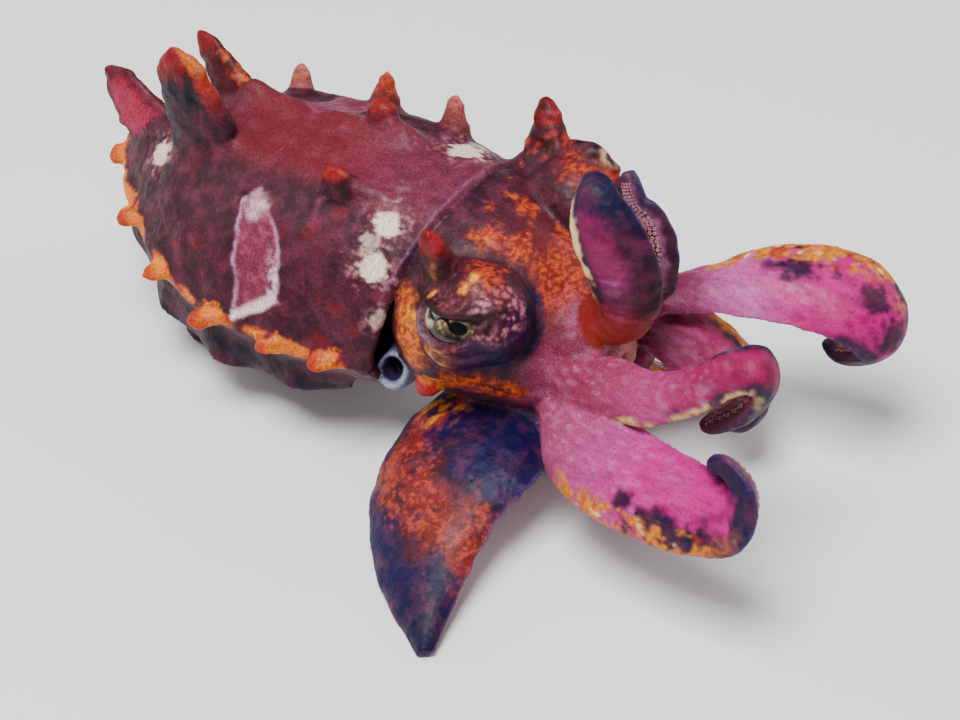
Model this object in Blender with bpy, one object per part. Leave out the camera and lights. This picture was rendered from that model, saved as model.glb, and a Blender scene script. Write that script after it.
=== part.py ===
"""Flamboyant cuttlefish, life size, walking: a still model with eight arms, fins and skin papillae.

Lengths are in millimetres until a mesh is made. X runs forward along the animal, Y to its left and Z up from
the floor. The lengthwise places of the body are measured from the hind end of the mantle.
"""

import math

import bmesh
import bpy
import numpy as np
from mathutils import Matrix

MM = 0.001
GAP = 0.3

# Mantle: a dome over a keel line. Stations of (x, half width, height of keel, top and underside).
MANTLE_STATIONS = [
    (0.0, 1.2, 20.8, 21.8, 19.6), (2.0, 4.0, 20.6, 23.6, 17.4), (5.0, 6.8, 20.3, 25.6, 15.0),
    (8.0, 9.3, 19.9, 27.2, 13.2), (13.6, 13.4, 19.3, 29.9, 10.8), (20.0, 17.2, 18.7, 32.4, 9.0),
    (25.0, 19.2, 18.2, 33.8, 8.2), (30.6, 20.4, 18.0, 35.0, 7.7), (36.0, 20.9, 18.0, 36.0, 7.5),
    (45.0, 20.4, 18.0, 37.0, 7.7), (51.0, 19.4, 18.0, 37.4, 8.3), (56.0, 18.1, 18.0, 37.5, 9.2),
]
COLLAR_FORWARD = 3.2
KEEL_BULGE = 1.1
LIP_THICKNESS = 2.2
LIP_DEPTH = 4.5

# Head: one loft from the neck to the crown of arms, with a bulge for each eye.
HEAD_ROLL = math.radians(8.0)
CROWN_X = 83.0
CROWN_Z = 19.4
CROWN_CUP = 2.5
EYE_BULGE = (69.6, 10.8, 30.9)
EYE_BULGE_RADII = (7.0, 6.4, 6.8)
EYE_LOOK = (-0.36, 0.9, -0.24)
EYE_RADIUS = 5.0
EYE_SINK = 2.6

# Fins and walking flaps
FIN_WIDTH = 4.4
FIN_START = 3.0
FIN_END = 53.0
FLAP_X = 24.0
FLAP_Y = 9.5
FLAP_SIZE = (10.0, 4.6)

COLOURS = {
    "mantle": (0.16, 0.03, 0.05, 1.0),
    "head": (0.33, 0.05, 0.03, 1.0),
    "arm": (0.55, 0.07, 0.24, 1.0),
    "arm_dark": (0.12, 0.03, 0.09, 1.0),
    "fin": (0.10, 0.04, 0.09, 1.0),
    "eye": (0.45, 0.42, 0.25, 1.0),
    "funnel": (0.35, 0.38, 0.55, 1.0),
    "mouth": (0.55, 0.35, 0.35, 1.0),
}

# Each arm: root to tip stations of (x, y, z, width), and the way its outer face looks at root, middle and tip.
ARMS = {
    "arm_1_right": {
        "line": [
            (77.5, -3.0, 25.0, 6.5), (81.6, -4.2, 28.4, 7.0), (85.4, -5.2, 32.0, 7.8), (86.6, -5.9, 36.2, 8.8),
            (85.6, -6.3, 40.6, 9.4), (83.6, -6.4, 44.4, 9.0), (82.0, -6.0, 47.2, 7.2), (80.9, -5.2, 48.8, 5.2),
            (80.0, -4.2, 48.8, 3.4), (79.6, -3.6, 47.4, 1.8),
        ],
        "faces": [(0.0, -0.4, 0.92), (0.35, -0.85, 0.2)],
    },
    "arm_1_left": {
        "line": [
            (77.5, 3.0, 25.0, 6.5), (81.8, 2.2, 28.2, 7.0), (85.2, 1.0, 32.4, 7.2), (86.4, 0.3, 37.4, 6.8),
            (86.2, -0.1, 41.6, 6.2), (85.4, -0.5, 44.2, 4.8), (84.3, -0.8, 45.2, 3.6), (83.4, -0.7, 46.6, 3.5),
            (82.7, -0.4, 48.0, 3.0), (82.4, -0.2, 49.0, 1.4),
        ],
        "faces": [(0.0, 0.4, 0.92), (-0.1, 0.9, 0.4)],
    },
    "arm_2_right": {
        "line": [
            (77.0, -7.4, 22.0, 6.0), (82.5, -9.0, 22.6, 8.0), (87.0, -9.5, 24.0, 7.6), (92.6, -9.8, 25.2, 7.0),
            (98.4, -9.6, 29.4, 6.4), (102.4, -9.0, 33.6, 6.2), (105.4, -8.2, 35.4, 6.2), (106.0, -6.8, 32.4, 6.6),
            (103.6, -6.0, 27.2, 6.6), (100.2, -6.2, 23.2, 4.6), (98.6, -6.4, 21.4, 2.0),
        ],
        "faces": [(-0.1, -0.8, 0.6), (-0.2, -0.6, 0.75)],
    },
    "arm_2_left": {
        "line": [
            (77.0, 7.4, 22.0, 6.0), (82.5, 10.5, 22.5, 8.0), (88.4, 13.4, 24.6, 8.6), (94.0, 16.0, 26.4, 11.0),
            (100.0, 18.2, 27.2, 12.8), (106.0, 19.6, 26.2, 12.8), (109.4, 20.4, 21.8, 10.0),
            (106.4, 20.6, 17.8, 6.4), (103.6, 20.4, 16.6, 3.8), (102.2, 20.2, 18.0, 1.8),
        ],
        "faces": [(-0.1, 0.3, 0.9), (0.1, -0.35, 0.93)],
    },
    "arm_3_right": {
        "line": [
            (77.0, -7.4, 16.2, 6.5), (82.0, -11.6, 17.4, 10.5), (86.8, -14.2, 17.4, 12.5), (92.2, -15.8, 17.5, 12.4),
            (98.6, -16.9, 18.2, 12.0), (104.4, -17.2, 19.0, 11.0), (109.4, -17.2, 21.4, 9.4),
            (109.8, -16.6, 25.6, 6.6), (107.0, -16.0, 27.2, 4.2), (104.8, -15.6, 25.8, 2.0),
        ],
        "faces": [(-0.2, -0.85, 0.4), (0.15, -0.65, 0.75)],
    },
    "arm_3_left": {
        "line": [
            (77.0, 7.4, 16.2, 6.5), (82.0, 8.6, 18.2, 9.0), (86.6, 9.4, 18.2, 11.0), (91.0, 9.8, 16.6, 11.0),
            (94.8, 9.4, 14.6, 9.5), (97.2, 8.4, 12.6, 7.0), (96.8, 7.2, 10.6, 4.5), (94.4, 6.6, 10.2, 2.0),
        ],
        "faces": [(-0.2, 0.6, 0.75), (0.2, -0.2, 0.95)],
    },
    "arm_4_right": {
        "line": [
            (77.0, -2.6, 12.4, 8.0), (74.6, -6.8, 11.4, 15.0), (72.0, -11.4, 10.4, 20.5), (70.8, -17.2, 9.1, 22.5),
            (71.2, -23.6, 7.0, 20.5), (73.6, -29.6, 4.6, 16.0), (76.6, -34.4, 2.7, 11.0), (79.4, -38.0, 1.3, 6.0),
            (81.6, -41.0, 0.7, 2.2),
        ],
        "faces": [(-0.1, -0.4, 0.9), (-0.22, -0.32, 0.92)],
    },
    "arm_4_left": {
        "line": [
            (77.0, 3.6, 12.2, 7.0), (79.5, 7.5, 9.6, 11.0), (81.8, 11.4, 6.6, 13.0), (83.8, 14.8, 3.6, 11.5),
            (86.2, 17.8, 1.5, 8.0), (89.0, 20.6, 0.8, 3.0),
        ],
        "faces": [(-0.1, 0.4, 0.9), (-0.25, 0.5, 0.83)],
    },
}

# Papillae of the back: root, tip, width along the body, thickness.
BACK_PAPILLAE = [
    ((9.6, -3.2, 23.6), (-1.6, -2.0, 32.8), 9.6, 3.8, 0.3),
    ((23.2, -7.2, 28.6), (16.9, -7.2, 45.4), 11.0, 4.0, 0.06),
    ((20.4, 3.6, 29.4), (10.2, 5.0, 39.2), 8.6, 3.8, 0.5),
    ((46.6, -8.0, 32.4), (44.4, -8.8, 39.0), 6.4, 3.6, 0.1),
    ((44.0, 3.0, 34.0), (42.4, 4.0, 41.2), 6.4, 4.4, 0.3),
    ((36.6, 12.0, 31.0), (36.8, 12.8, 38.6), 4.6, 3.2, 0.4),
    ((22.4, 11.0, 27.0), (22.0, 12.5, 34.2), 4.6, 3.2, 0.4),
    ((48.8, 11.0, 32.0), (48.4, 12.5, 39.4), 4.8, 3.2, 0.4),
    ((34.4, -12.8, 28.6), (34.2, -13.4, 33.0), 4.6, 3.4, 0.2),
    ((52.4, -4.6, 34.0), (52.2, -4.8, 38.0), 4.0, 3.2, 0.2),
]

# Papillae of the keel on each side: distance from the hind end, length.
KEEL_PAPILLAE = [(2.0, 3.0), (12.0, 4.0), (22.0, 4.6), (33.0, 5.0), (43.0, 3.6), (50.5, 3.0)]


def unit(vector):
    vector = np.asarray(vector, float)
    return vector / np.linalg.norm(vector)


def smooth_line(rows, places):
    """Points on a smooth curve through the rows at the given shares of its length. Extra columns follow along."""
    rows = np.asarray(rows, float)
    knots = np.concatenate([[0.0], np.cumsum(np.linalg.norm(np.diff(rows[:, :3], axis=0), axis=1))])
    padded = np.vstack([2 * rows[0] - rows[1], rows, 2 * rows[-1] - rows[-2]])
    out = []
    for place in np.asarray(places) * knots[-1]:
        i = min(max(int(np.searchsorted(knots, place, side="right")) - 1, 0), len(rows) - 2)
        t = (place - knots[i]) / (knots[i + 1] - knots[i])
        a, b, c, d = padded[i : i + 4]
        out.append(
            0.5 * (2 * b + (c - a) * t + (2 * a - 5 * b + 4 * c - d) * t**2 + (3 * b - a - 3 * c + d) * t**3)
        )
    return np.array(out)


def object_from(name, points, faces):
    mesh = bpy.data.meshes.new(name)
    mesh.from_pydata((np.asarray(points, float) * MM).tolist(), [], [list(face) for face in faces])
    mesh.update()
    obj = bpy.data.objects.new(name, mesh)
    bpy.context.scene.collection.objects.link(obj)
    return obj


def lofted(name, rings, pit=None):
    """A closed mesh through rings of equal count, with a fan of triangles over each end, the last sunk by pit."""
    rings = np.asarray(rings, float)
    count, around = rings.shape[:2]
    last_middle = rings[-1].mean(0) - (0.0 if pit is None else np.asarray(pit))
    points = np.vstack([rings.reshape(-1, 3), rings[0].mean(0), last_middle])
    faces = []
    for i in range(count - 1):
        for j in range(around):
            k = (j + 1) % around
            a, b, c, d = i * around + j, i * around + k, (i + 1) * around + k, (i + 1) * around + j
            faces += [(a, b, c), (a, c, d)]
    first, last = count * around, count * around + 1
    for j in range(around):
        k = (j + 1) % around
        faces.append((first, k, j))
        faces.append((last, (count - 1) * around + j, (count - 1) * around + k))
    obj = object_from(name, points, faces)
    face_outward(obj.data)
    return obj


def face_outward(mesh):
    work = bmesh.new()
    work.from_mesh(mesh)
    bmesh.ops.recalc_face_normals(work, faces=work.faces)
    if work.calc_volume(signed=True) < 0:
        bmesh.ops.reverse_faces(work, faces=work.faces)
    work.to_mesh(mesh)
    work.free()


def remove(objects):
    for obj in objects:
        bpy.data.objects.remove(obj)


def boolean_of(target, group, operation, solver):
    modifier = target.modifiers.new("combine", "BOOLEAN")
    modifier.operation = operation
    modifier.operand_type = "COLLECTION"
    modifier.collection = group
    modifier.solver = solver
    depsgraph = bpy.context.evaluated_depsgraph_get()
    done = bpy.data.meshes.new_from_object(target.evaluated_get(depsgraph))
    target.modifiers.clear()
    keep_largest(done)
    return done


def is_closed(mesh):
    work = bmesh.new()
    work.from_mesh(mesh)
    closed = len(work.faces) > 3 and all(len(edge.link_faces) == 2 for edge in work.edges)
    work.free()
    return closed


def combine(target, others, operation):
    """Joins or cuts the target with all the others in one Boolean, and keeps its largest closed surface."""
    group = bpy.data.collections.new(target.name + "_group")
    bpy.context.scene.collection.children.link(group)
    for other in others:
        group.objects.link(other)
    done = boolean_of(target, group, operation, "EXACT")
    if not is_closed(done):
        done = boolean_of(target, group, operation, "MANIFOLD")
    target.data = done
    remove(others)
    bpy.data.collections.remove(group)


def keep_largest(mesh):
    work = bmesh.new()
    work.from_mesh(mesh)
    bmesh.ops.triangulate(work, faces=work.faces)
    seen, parts = set(), []
    for start in work.verts:
        if start in seen:
            continue
        stack, part = [start], []
        seen.add(start)
        while stack:
            vertex = stack.pop()
            part.append(vertex)
            for edge in vertex.link_edges:
                other = edge.other_vert(vertex)
                if other not in seen:
                    seen.add(other)
                    stack.append(other)
        parts.append(part)
    parts.sort(key=len)
    for part in parts[:-1]:
        bmesh.ops.delete(work, geom=part, context="VERTS")
    work.to_mesh(mesh)
    work.free()


def ball(name, centre, radii, segments=14, rings=9):
    work = bmesh.new()
    bmesh.ops.create_uvsphere(work, u_segments=segments, v_segments=rings, radius=1.0)
    points = [np.array(v.co) * radii + np.array(centre) for v in work.verts]
    faces = [[v.index for v in face.verts] for face in work.faces]
    work.free()
    return object_from(name, points, faces)


def mantle_station(x):
    table = np.array(MANTLE_STATIONS)
    return [float(np.interp(x, table[:, 0], table[:, i])) for i in range(1, 5)]


def mantle_point(x, turn, grow=0.0):
    """A point of the mantle's surface: turn is 0 at the right keel, a quarter turn on the back, half at the left."""
    half, keel_z, top, under = mantle_station(x)
    side, height = math.cos(turn), math.sin(turn)
    bulge = KEEL_BULGE * math.exp(-((height / 0.2) ** 2)) * min(1.0, x / 6.0)
    y = -(half + grow) * side
    if height >= 0:
        z = keel_z + (top - keel_z + grow) * height
        x += COLLAR_FORWARD * height**2 * (x / MANTLE_STATIONS[-1][0]) ** 6
    else:
        y = -(half + grow) * math.copysign(abs(side) ** 0.85, side)
        z = keel_z - (keel_z - under + grow) * abs(height) ** 0.85
        x -= 0.6 * COLLAR_FORWARD * height**2 * (x / MANTLE_STATIONS[-1][0]) ** 6
    return (x, y - math.copysign(bulge, side), z)


def mantle_rings(stations, around, grow=0.0):
    rings = []
    for i in range(stations):
        share = i / (stations - 1)
        x = MANTLE_STATIONS[-1][0] * (share - 0.35 * math.sin(math.pi * share) / math.pi)
        rings.append([mantle_point(x, 2 * math.pi * j / around, grow) for j in range(around)])
    return rings


def inset_ring(ring, inset, forward):
    """The ring drawn in towards its middle by a set distance and moved forward."""
    ring = np.asarray(ring)
    middle = ring.mean(0)
    out = ring - middle
    lengths = np.linalg.norm(out, axis=1, keepdims=True)
    moved = middle + out * (lengths - inset) / lengths
    moved[:, 0] += forward
    return moved


def mantle_body(name, grow=0.0):
    rings = mantle_rings(18, 24, grow)
    rim = rings[-1]
    rings.append(inset_ring(rim, 0.9 - grow * 0.5, 1.0 + grow))
    if grow == 0.0:
        rings.append(inset_ring(rim, LIP_THICKNESS, 0.2))
        rings.append(inset_ring(rim, LIP_THICKNESS + 0.6, -LIP_DEPTH))
    return lofted(name, rings)


def blade(name, root, tip, width, thickness, taper=0.3, across=(1.0, 0.0, 0.0), around=7, stations=5, flare=1.4):
    """A flat papilla: a tapering blade with a round end and a root that flares into the skin."""
    root, tip = np.array(root, float), np.array(tip, float)
    axis = unit(tip - root)
    wide = unit(np.array(across, float) - axis * np.dot(across, axis))
    thick = np.cross(axis, wide)
    rings = []
    for i in range(stations):
        share = i / (stations - 1)
        size = (1.0 - share**4) ** 0.5 * (1.0 - taper * share) * (1.0 + (flare - 1.0) * (1.0 - share) ** 3)
        size = max(size, 0.16)
        centre = root + (tip - root) * (share - 0.02 * (share == 1.0))
        rings.append(
            [
                centre
                + wide * (0.5 * width * size * math.cos(2 * math.pi * j / around))
                + thick * (0.5 * thickness * size * math.sin(2 * math.pi * j / around))
                for j in range(around)
            ]
        )
    return lofted(name, rings)


def keel_papillae():
    pieces = []
    for side in (0, 1):
        for x, length in KEEL_PAPILLAE:
            root = np.array(mantle_point(x + 0.6 * side, math.pi * side))
            out = unit((-0.55 - 0.9 * (x < 3.0), -1.0 + 2.0 * side, -0.15))
            tip = root + out * length * 0.6
            pieces.append(blade("keel_papilla", root - out * 2.4, tip, 4.0, 2.2, around=6, stations=4))
    return pieces


def mantle():
    body = mantle_body("mantle")
    pieces = [
        blade("back_papilla", *row) for row in BACK_PAPILLAE
    ]
    combine(body, pieces + keel_papillae(), "UNION")
    combine(body, [head_body("cutter", GAP)], "DIFFERENCE")
    return body


def fin(side):
    """One fin: a thin ruffled sheet under the keel, from near the hind end to near the neck."""
    name = "fin_right" if side < 0 else "fin_left"
    rings = []
    stations = 23
    for i in range(stations):
        share = i / (stations - 1)
        x = FIN_START + (FIN_END - FIN_START) * share
        root = np.array(mantle_point(x, math.pi if side > 0 else 0.0))
        root[1] -= side * 2.8
        root[2] -= 2.8
        reach = FIN_WIDTH * math.sin(math.pi * min(max(share * 0.94 + 0.03, 0.0), 1.0)) ** 0.45 + 2.0
        wave = math.sin(share * math.pi * 8.0 + side) * 0.9
        out = unit((-0.15 * (1 - share), side * 0.22, -0.95))
        up = unit((0.0, side * 0.95, 0.22))
        ring = []
        for t, thick in ((0.0, 1.0), (0.45, 0.8), (0.8, 0.55), (1.0, 0.35)):
            ring.append(root + out * reach * t + up * (wave * t * t + thick))
        for t, thick in ((1.0, 0.35), (0.8, 0.55), (0.45, 0.8), (0.0, 1.0)):
            ring.append(root + out * reach * t + up * (wave * t * t - thick))
        rings.append(ring)
    piece = lofted(name, rings)
    combine(piece, [mantle_body("cutter", GAP)], "DIFFERENCE")
    return piece


def floor_block():
    block = ball("floor", (60.0, 0.0, -30.0), (1.0, 1.0, 1.0))
    bpy.data.objects.remove(block)
    corners = [(x, y, z) for x in (-40.0, 160.0) for y in (-90.0, 90.0) for z in (-30.0, 0.0)]
    faces = [(0, 1, 3, 2), (4, 6, 7, 5), (0, 4, 5, 1), (2, 3, 7, 6), (0, 2, 6, 4), (1, 5, 7, 3)]
    block = object_from("floor", corners, faces)
    face_outward(block.data)
    return block


def walking_flap(side):
    """One of the two lobes under the mantle that the animal walks on, with a flat sole on the floor."""
    name = "walking_flap_right" if side < 0 else "walking_flap_left"
    rings = []
    for height, length, width in ((12.0, 1.15, 1.3), (7.0, 1.0, 1.0), (3.5, 0.92, 0.9), (1.0, 0.8, 0.85), (-1.0, 0.7, 0.8)):
        rings.append(
            [
                (
                    FLAP_X - 0.25 * (12.0 - height) + 0.5 * FLAP_SIZE[0] * length * math.cos(math.pi * j / 7),
                    side * (FLAP_Y + 0.12 * (12.0 - height)) + 0.5 * FLAP_SIZE[1] * width * math.sin(math.pi * j / 7),
                    height,
                )
                for j in range(14)
            ]
        )
    piece = lofted(name, rings)
    combine(piece, [mantle_body("cutter", GAP), floor_block()], "DIFFERENCE")
    return piece


# Head stations from the neck to the rim of the crown: x, middle height, half width, rise, drop.
HEAD_STATIONS = [
    (52.0, 21.5, 11.5, 9.5, 8.0),
    (56.0, 22.0, 12.6, 12.0, 9.6),
    (58.5, 22.8, 15.0, 13.6, 11.4),
    (62.0, 23.0, 16.3, 13.9, 12.2),
    (67.0, 22.6, 15.8, 13.4, 12.0),
    (72.0, 21.6, 13.6, 12.0, 11.0),
    (77.0, 20.4, 11.2, 10.2, 9.8),
    (CROWN_X, CROWN_Z, 10.2, 9.3, 9.0),
]


def rolled(point):
    """The head leans a little to the right, about a line along the body."""
    x, y, z = point
    c, s = math.cos(HEAD_ROLL), math.sin(HEAD_ROLL)
    dz = z - CROWN_Z
    return (x, y * c - dz * s, CROWN_Z + y * s + dz * c)


def head_rings(stations, around, grow=0.0):
    rings = []
    for x, middle, half, rise, drop in smooth_line(
        [(x, m, h, r, d) for x, m, h, r, d in HEAD_STATIONS], np.linspace(0, 1, stations)
    ):
        ring = []
        for j in range(around):
            turn = 2 * math.pi * j / around
            height = math.sin(turn)
            tall = (rise if height > 0 else drop) + grow
            ring.append(rolled((x, (half + grow) * math.cos(turn), middle + tall * height)))
        rings.append(ring)
    return rings


def head_body(name, grow=0.0, stations=12, around=20):
    rings = head_rings(stations, around, grow)
    rim = rings[-1]
    rings.append(inset_ring(rim, 1.0 - grow * 0.5, 0.9 + grow))
    if grow == 0.0:
        rings.append(inset_ring(rim, 3.2, 0.6))
        rings.append(inset_ring(rim, 4.6, -CROWN_CUP))
    return lofted(name, rings)


def eye_bulge(side, grow=0.0, name="eye_bulge"):
    centre = rolled((EYE_BULGE[0], side * EYE_BULGE[1], EYE_BULGE[2]))
    return ball(name, centre, np.array(EYE_BULGE_RADII) + grow)


def eye_centre(side):
    look = unit((EYE_LOOK[0], side * EYE_LOOK[1], EYE_LOOK[2]))
    centre = np.array([EYE_BULGE[0], side * EYE_BULGE[1], EYE_BULGE[2]]) + look * EYE_SINK
    return np.array(rolled(centre)), look


def lid(side, upper):
    """A fold of skin that follows the rim of the eye opening, above or below it."""
    centre, look = eye_centre(side)
    up = unit(np.array([0.0, 0.0, 1.0]) - look * look[2])
    along = np.cross(look, up)
    radius = 3.9 if upper else 4.1
    depth = 3.75 if upper else 3.3
    thick = 1.25 if upper else 0.95
    start, end = (-0.15, math.pi + 0.15) if upper else (-math.pi + 0.2, -0.2)
    rings = []
    for i in range(9):
        share = i / 8
        turn = start + (end - start) * share
        out = along * math.cos(turn) + up * math.sin(turn) * (0.62 if upper else 0.8)
        size = thick * (0.35 + 0.65 * math.sin(math.pi * share))
        middle = centre + out * radius + look * depth
        rings.append(
            [
                middle + unit(out) * size * math.cos(a) + look * size * math.sin(a)
                for a in (2 * math.pi * j / 6 for j in range(6))
            ]
        )
    return lofted("lid", rings)


HEAD_PAPILLAE = [
    ((65.0, -12.0, 31.0), (63.6, -15.0, 41.2), 5.0, 4.0, 0.15),
    ((64.4, 11.5, 33.0), (61.2, 14.6, 42.8), 8.0, 5.4, 0.5),
    ((70.0, 11.4, 33.6), (71.4, 12.6, 41.0), 9.0, 6.6, 0.3),
    ((66.0, -12.0, 21.5), (62.7, -15.8, 14.6), 4.6, 3.4, 0.4),
    ((66.0, 12.0, 23.5), (62.8, 16.6, 17.4), 4.6, 3.4, 0.4),
]


def head():
    body = head_body("head")
    pieces = [eye_bulge(-1), eye_bulge(1)]
    pieces += [blade("head_papilla", *row) for row in HEAD_PAPILLAE]
    pieces += [lid(side, upper) for side in (-1, 1) for upper in (True, False)]
    combine(body, pieces, "UNION")
    sockets = [ball("socket", eye_centre(side)[0], (EYE_RADIUS + GAP,) * 3, 16, 12) for side in (-1, 1)]
    combine(body, sockets, "DIFFERENCE")
    return body


def eye(side):
    return ball("eye_right" if side < 0 else "eye_left", eye_centre(side)[0], (EYE_RADIUS,) * 3, 16, 12)


def funnel():
    """The siphon: a short tube from under the neck that opens at the right of the collar."""
    line = [(54.0, -3.0, 13.8, 4.2), (55.5, -8.0, 13.6, 3.6), (57.2, -12.0, 14.6, 3.1), (57.9, -15.2, 16.0, 2.6)]
    rings = []
    rows = smooth_line(line, np.linspace(0, 1, 7))
    for i, row in enumerate(rows):
        ahead = rows[min(i + 1, 6)][:3] - rows[max(i - 1, 0)][:3]
        axis = unit(ahead)
        side = unit(np.cross(axis, (0, 0, 1)))
        up = np.cross(side, axis)
        rings.append(
            [
                row[:3] + (side * math.cos(a) * 0.85 + up * math.sin(a)) * row[3]
                for a in (2 * math.pi * j / 12 for j in range(12))
            ]
        )
    axis = unit(rows[-1][:3] - rows[-2][:3])
    rings.append(np.array(rings[-1]) * 0.35 + rows[-1][:3] * 0.65 + axis * 0.1)
    rings.append(np.array(rings[-1]) - axis * 2.2)
    piece = lofted("funnel", rings)
    cutters = [head_body("cutter", GAP), mantle_body("cutter", GAP)]
    combine(piece, cutters, "DIFFERENCE")
    return piece


def mouth():
    """The lips round the beak, a low dome with a pit, in the cup of the arm crown."""
    rings = []
    for forward, radius in ((0.0, 3.6), (1.2, 4.0), (2.4, 3.4), (3.0, 2.2), (2.6, 1.2), (1.6, 0.8)):
        rings.append(
            [
                rolled((CROWN_X - CROWN_CUP + 0.3 + forward, radius * math.cos(a), CROWN_Z + radius * math.sin(a)))
                for a in (2 * math.pi * j / 14 for j in range(14))
            ]
        )
    return lofted("mouth", rings)


def arm_frames(arm, places):
    """Rows of middle, across, outward and forward vectors and width along an arm.

    The outer face turns evenly between its two given directions on the inner half, and on the outer half it is
    carried along the bends without twisting.
    """
    line = ARMS[arm]["line"]
    fine = np.linspace(0, 1, 121)
    rows = smooth_line(line, fine)
    steps = np.gradient(rows[:, :3], axis=0)
    first, second = (np.array(face, float) for face in ARMS[arm]["faces"])
    face, frames = None, []
    for place, row, step in zip(fine, rows, steps):
        axis = unit(step)
        if place <= 0.5 or face is None:
            face = first + (second - first) * min(place / 0.4, 1.0)
        face = unit(face - axis * np.dot(face, axis))
        frames.append(np.concatenate([row[:3], np.cross(axis, face), face, axis, [row[3]]]))
    frames = np.array(frames)
    out = []
    for place in places:
        row = np.array([np.interp(place, fine, frames[:, i]) for i in range(13)])
        out.append((row[:3], unit(row[3:6]), unit(row[6:9]), row[12], unit(row[9:12])))
    return out


def arm_section(width, around, grow):
    """Offsets across and outward of an arm's section: rounded outside, flatter inside, thin at both margins."""
    section = []
    outer, inner = 0.95 + 0.13 * width, 0.65 + 0.06 * width
    for j in range(around):
        turn = 2 * math.pi * j / around
        lift = math.copysign(abs(math.sin(turn)) ** 1.35, math.sin(turn))
        section.append(
            ((0.5 * width + grow) * math.cos(turn), lift * ((outer if lift > 0 else inner) + grow))
        )
    return section


def arm_rings(arm, places, around, grow=0.0):
    rings = []
    for middle, across, face, width, _ in arm_frames(arm, places):
        rings.append([middle + across * a + face * f for a, f in arm_section(width, around, grow)])
    return rings


SPLIT = 0.46
SUCKER_RADIUS = 0.85
SUCKER_ROWS = {"base": (2, 0.26, 0.43), "tip": (4, 0.5, 0.9)}


def arm_length(arm):
    rows = smooth_line(ARMS[arm]["line"], np.linspace(0, 1, 60))[:, :3]
    return float(np.linalg.norm(np.diff(rows, axis=0), axis=1).sum())


def arm_places(arm, part, count):
    """Shares of an arm's length for the rings of its base or tip, which leave a thin cut between them."""
    cut = 0.5 * GAP / arm_length(arm)
    if part == "base":
        return np.linspace(0, SPLIT - cut, count)
    return np.linspace(SPLIT + cut, 1, count)


def suckers(arm, part):
    """Small cups in two staggered rows along the inner face, smaller towards the tip."""
    count, low, high = SUCKER_ROWS[part]
    pieces = []
    places = np.linspace(low, high, 2 * count)
    for i, (middle, across, face, width, axis) in enumerate(arm_frames(arm, places)):
        row = 1.0 if i % 2 else -1.0
        radius = SUCKER_RADIUS * min(1.0, 0.42 + 0.075 * width)
        centre = middle + across * row * min(0.03 * width**1.35 + 0.2, 1.6)
        if centre[2] < 1.6:
            continue
        depth = (0.65 + 0.06 * width) * 0.93
        rings = []
        for lift, size in ((-0.5, 0.8), (0.55, 1.0)):
            rings.append(
                [
                    centre - face * (depth + lift) + (across * math.cos(a) + axis * math.sin(a)) * radius * size
                    for a in (2 * math.pi * j / 5 for j in range(5))
                ]
            )
        pieces.append(lofted("sucker", rings, pit=-face * 0.4))
    return pieces


def arm_piece(arm, part, cutters):
    count = 7 if part == "base" else 17
    piece = lofted(arm + "_" + part, arm_rings(arm, arm_places(arm, part, count), 10))
    combine(piece, suckers(arm, part), "UNION")
    if cutters:
        combine(piece, cutters, "DIFFERENCE")
    return piece


def neighbours_of(arm):
    """Arms that are made earlier and lie beside this one at the crown."""
    number, side = int(arm[4]), arm[6:]
    found = []
    if number > 1:
        found.append(f"arm_{number - 1}_{side}")
    if side == "left" and number in (1, 4):
        found.append(f"arm_{number}_right")
    return found


def arms():
    pieces = []
    for arm in ARMS:
        beside = [
            lofted("cutter", arm_rings(other, np.linspace(0, 0.6, 9), 10, GAP)) for other in neighbours_of(arm)
        ]
        crown = [head_body("cutter", GAP)] + ([mantle_body("cutter", GAP)] if arm == "arm_4_right" else [])
        floor = [floor_block()] if arm.startswith("arm_4") else []
        pieces.append(arm_piece(arm, "base", beside + crown + floor))
        past = [floor_block()]
        if arm == "arm_1_left":
            past.append(lofted("cutter", arm_rings("arm_1_right", np.linspace(0.3, 1, 16), 10, GAP + 0.1)))
        pieces.append(arm_piece(arm, "tip", past))
    return pieces


def material(name, colour):
    made = bpy.data.materials.new(name)
    made.use_nodes = True
    shader = made.node_tree.nodes["Principled BSDF"]
    shader.inputs["Base Color"].default_value = colour
    shader.inputs["Roughness"].default_value = 0.42
    shader.inputs["Metallic"].default_value = 0.0
    return made


def paint(obj):
    for key in ("mantle", "head", "fin", "eye", "funnel", "mouth"):
        if obj.name.startswith(key):
            break
    else:
        key = "arm_dark" if obj.name.startswith(("arm_4", "walking")) else "arm"
    obj.data.materials.clear()
    obj.data.materials.append(material(obj.name + "_skin", COLOURS[key]))
    obj.data.shade_smooth()


def stand(pieces):
    """Moves everything so that the origin lies under the middle of the whole model, on the floor."""
    low, high = np.full(3, 1e9), np.full(3, -1e9)
    for piece in pieces:
        points = np.array([vertex.co[:] for vertex in piece.data.vertices])
        low, high = np.minimum(low, points.min(0)), np.maximum(high, points.max(0))
    move = Matrix.Translation((-(low[0] + high[0]) / 2, -(low[1] + high[1]) / 2, 0.0))
    for piece in pieces:
        piece.data.transform(move)


def main():
    remove(list(bpy.data.objects))
    pieces = [mantle(), head(), funnel(), mouth()]
    for side in (-1, 1):
        pieces += [fin(side), walking_flap(side), eye(side)]
    pieces += arms()
    stand(pieces)
    for piece in pieces:
        paint(piece)


main()
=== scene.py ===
"""Looks of the flamboyant cuttlefish: one skin over all its flesh, eyes, suckers, floor, lights and camera.

Forms are laid out in millimetres, X forward from the hind end of the mantle, Y left and Z up. Each mesh is
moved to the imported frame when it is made.
"""

import math
import bmesh
import bpy
import numpy as np
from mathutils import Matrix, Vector, kdtree


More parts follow.
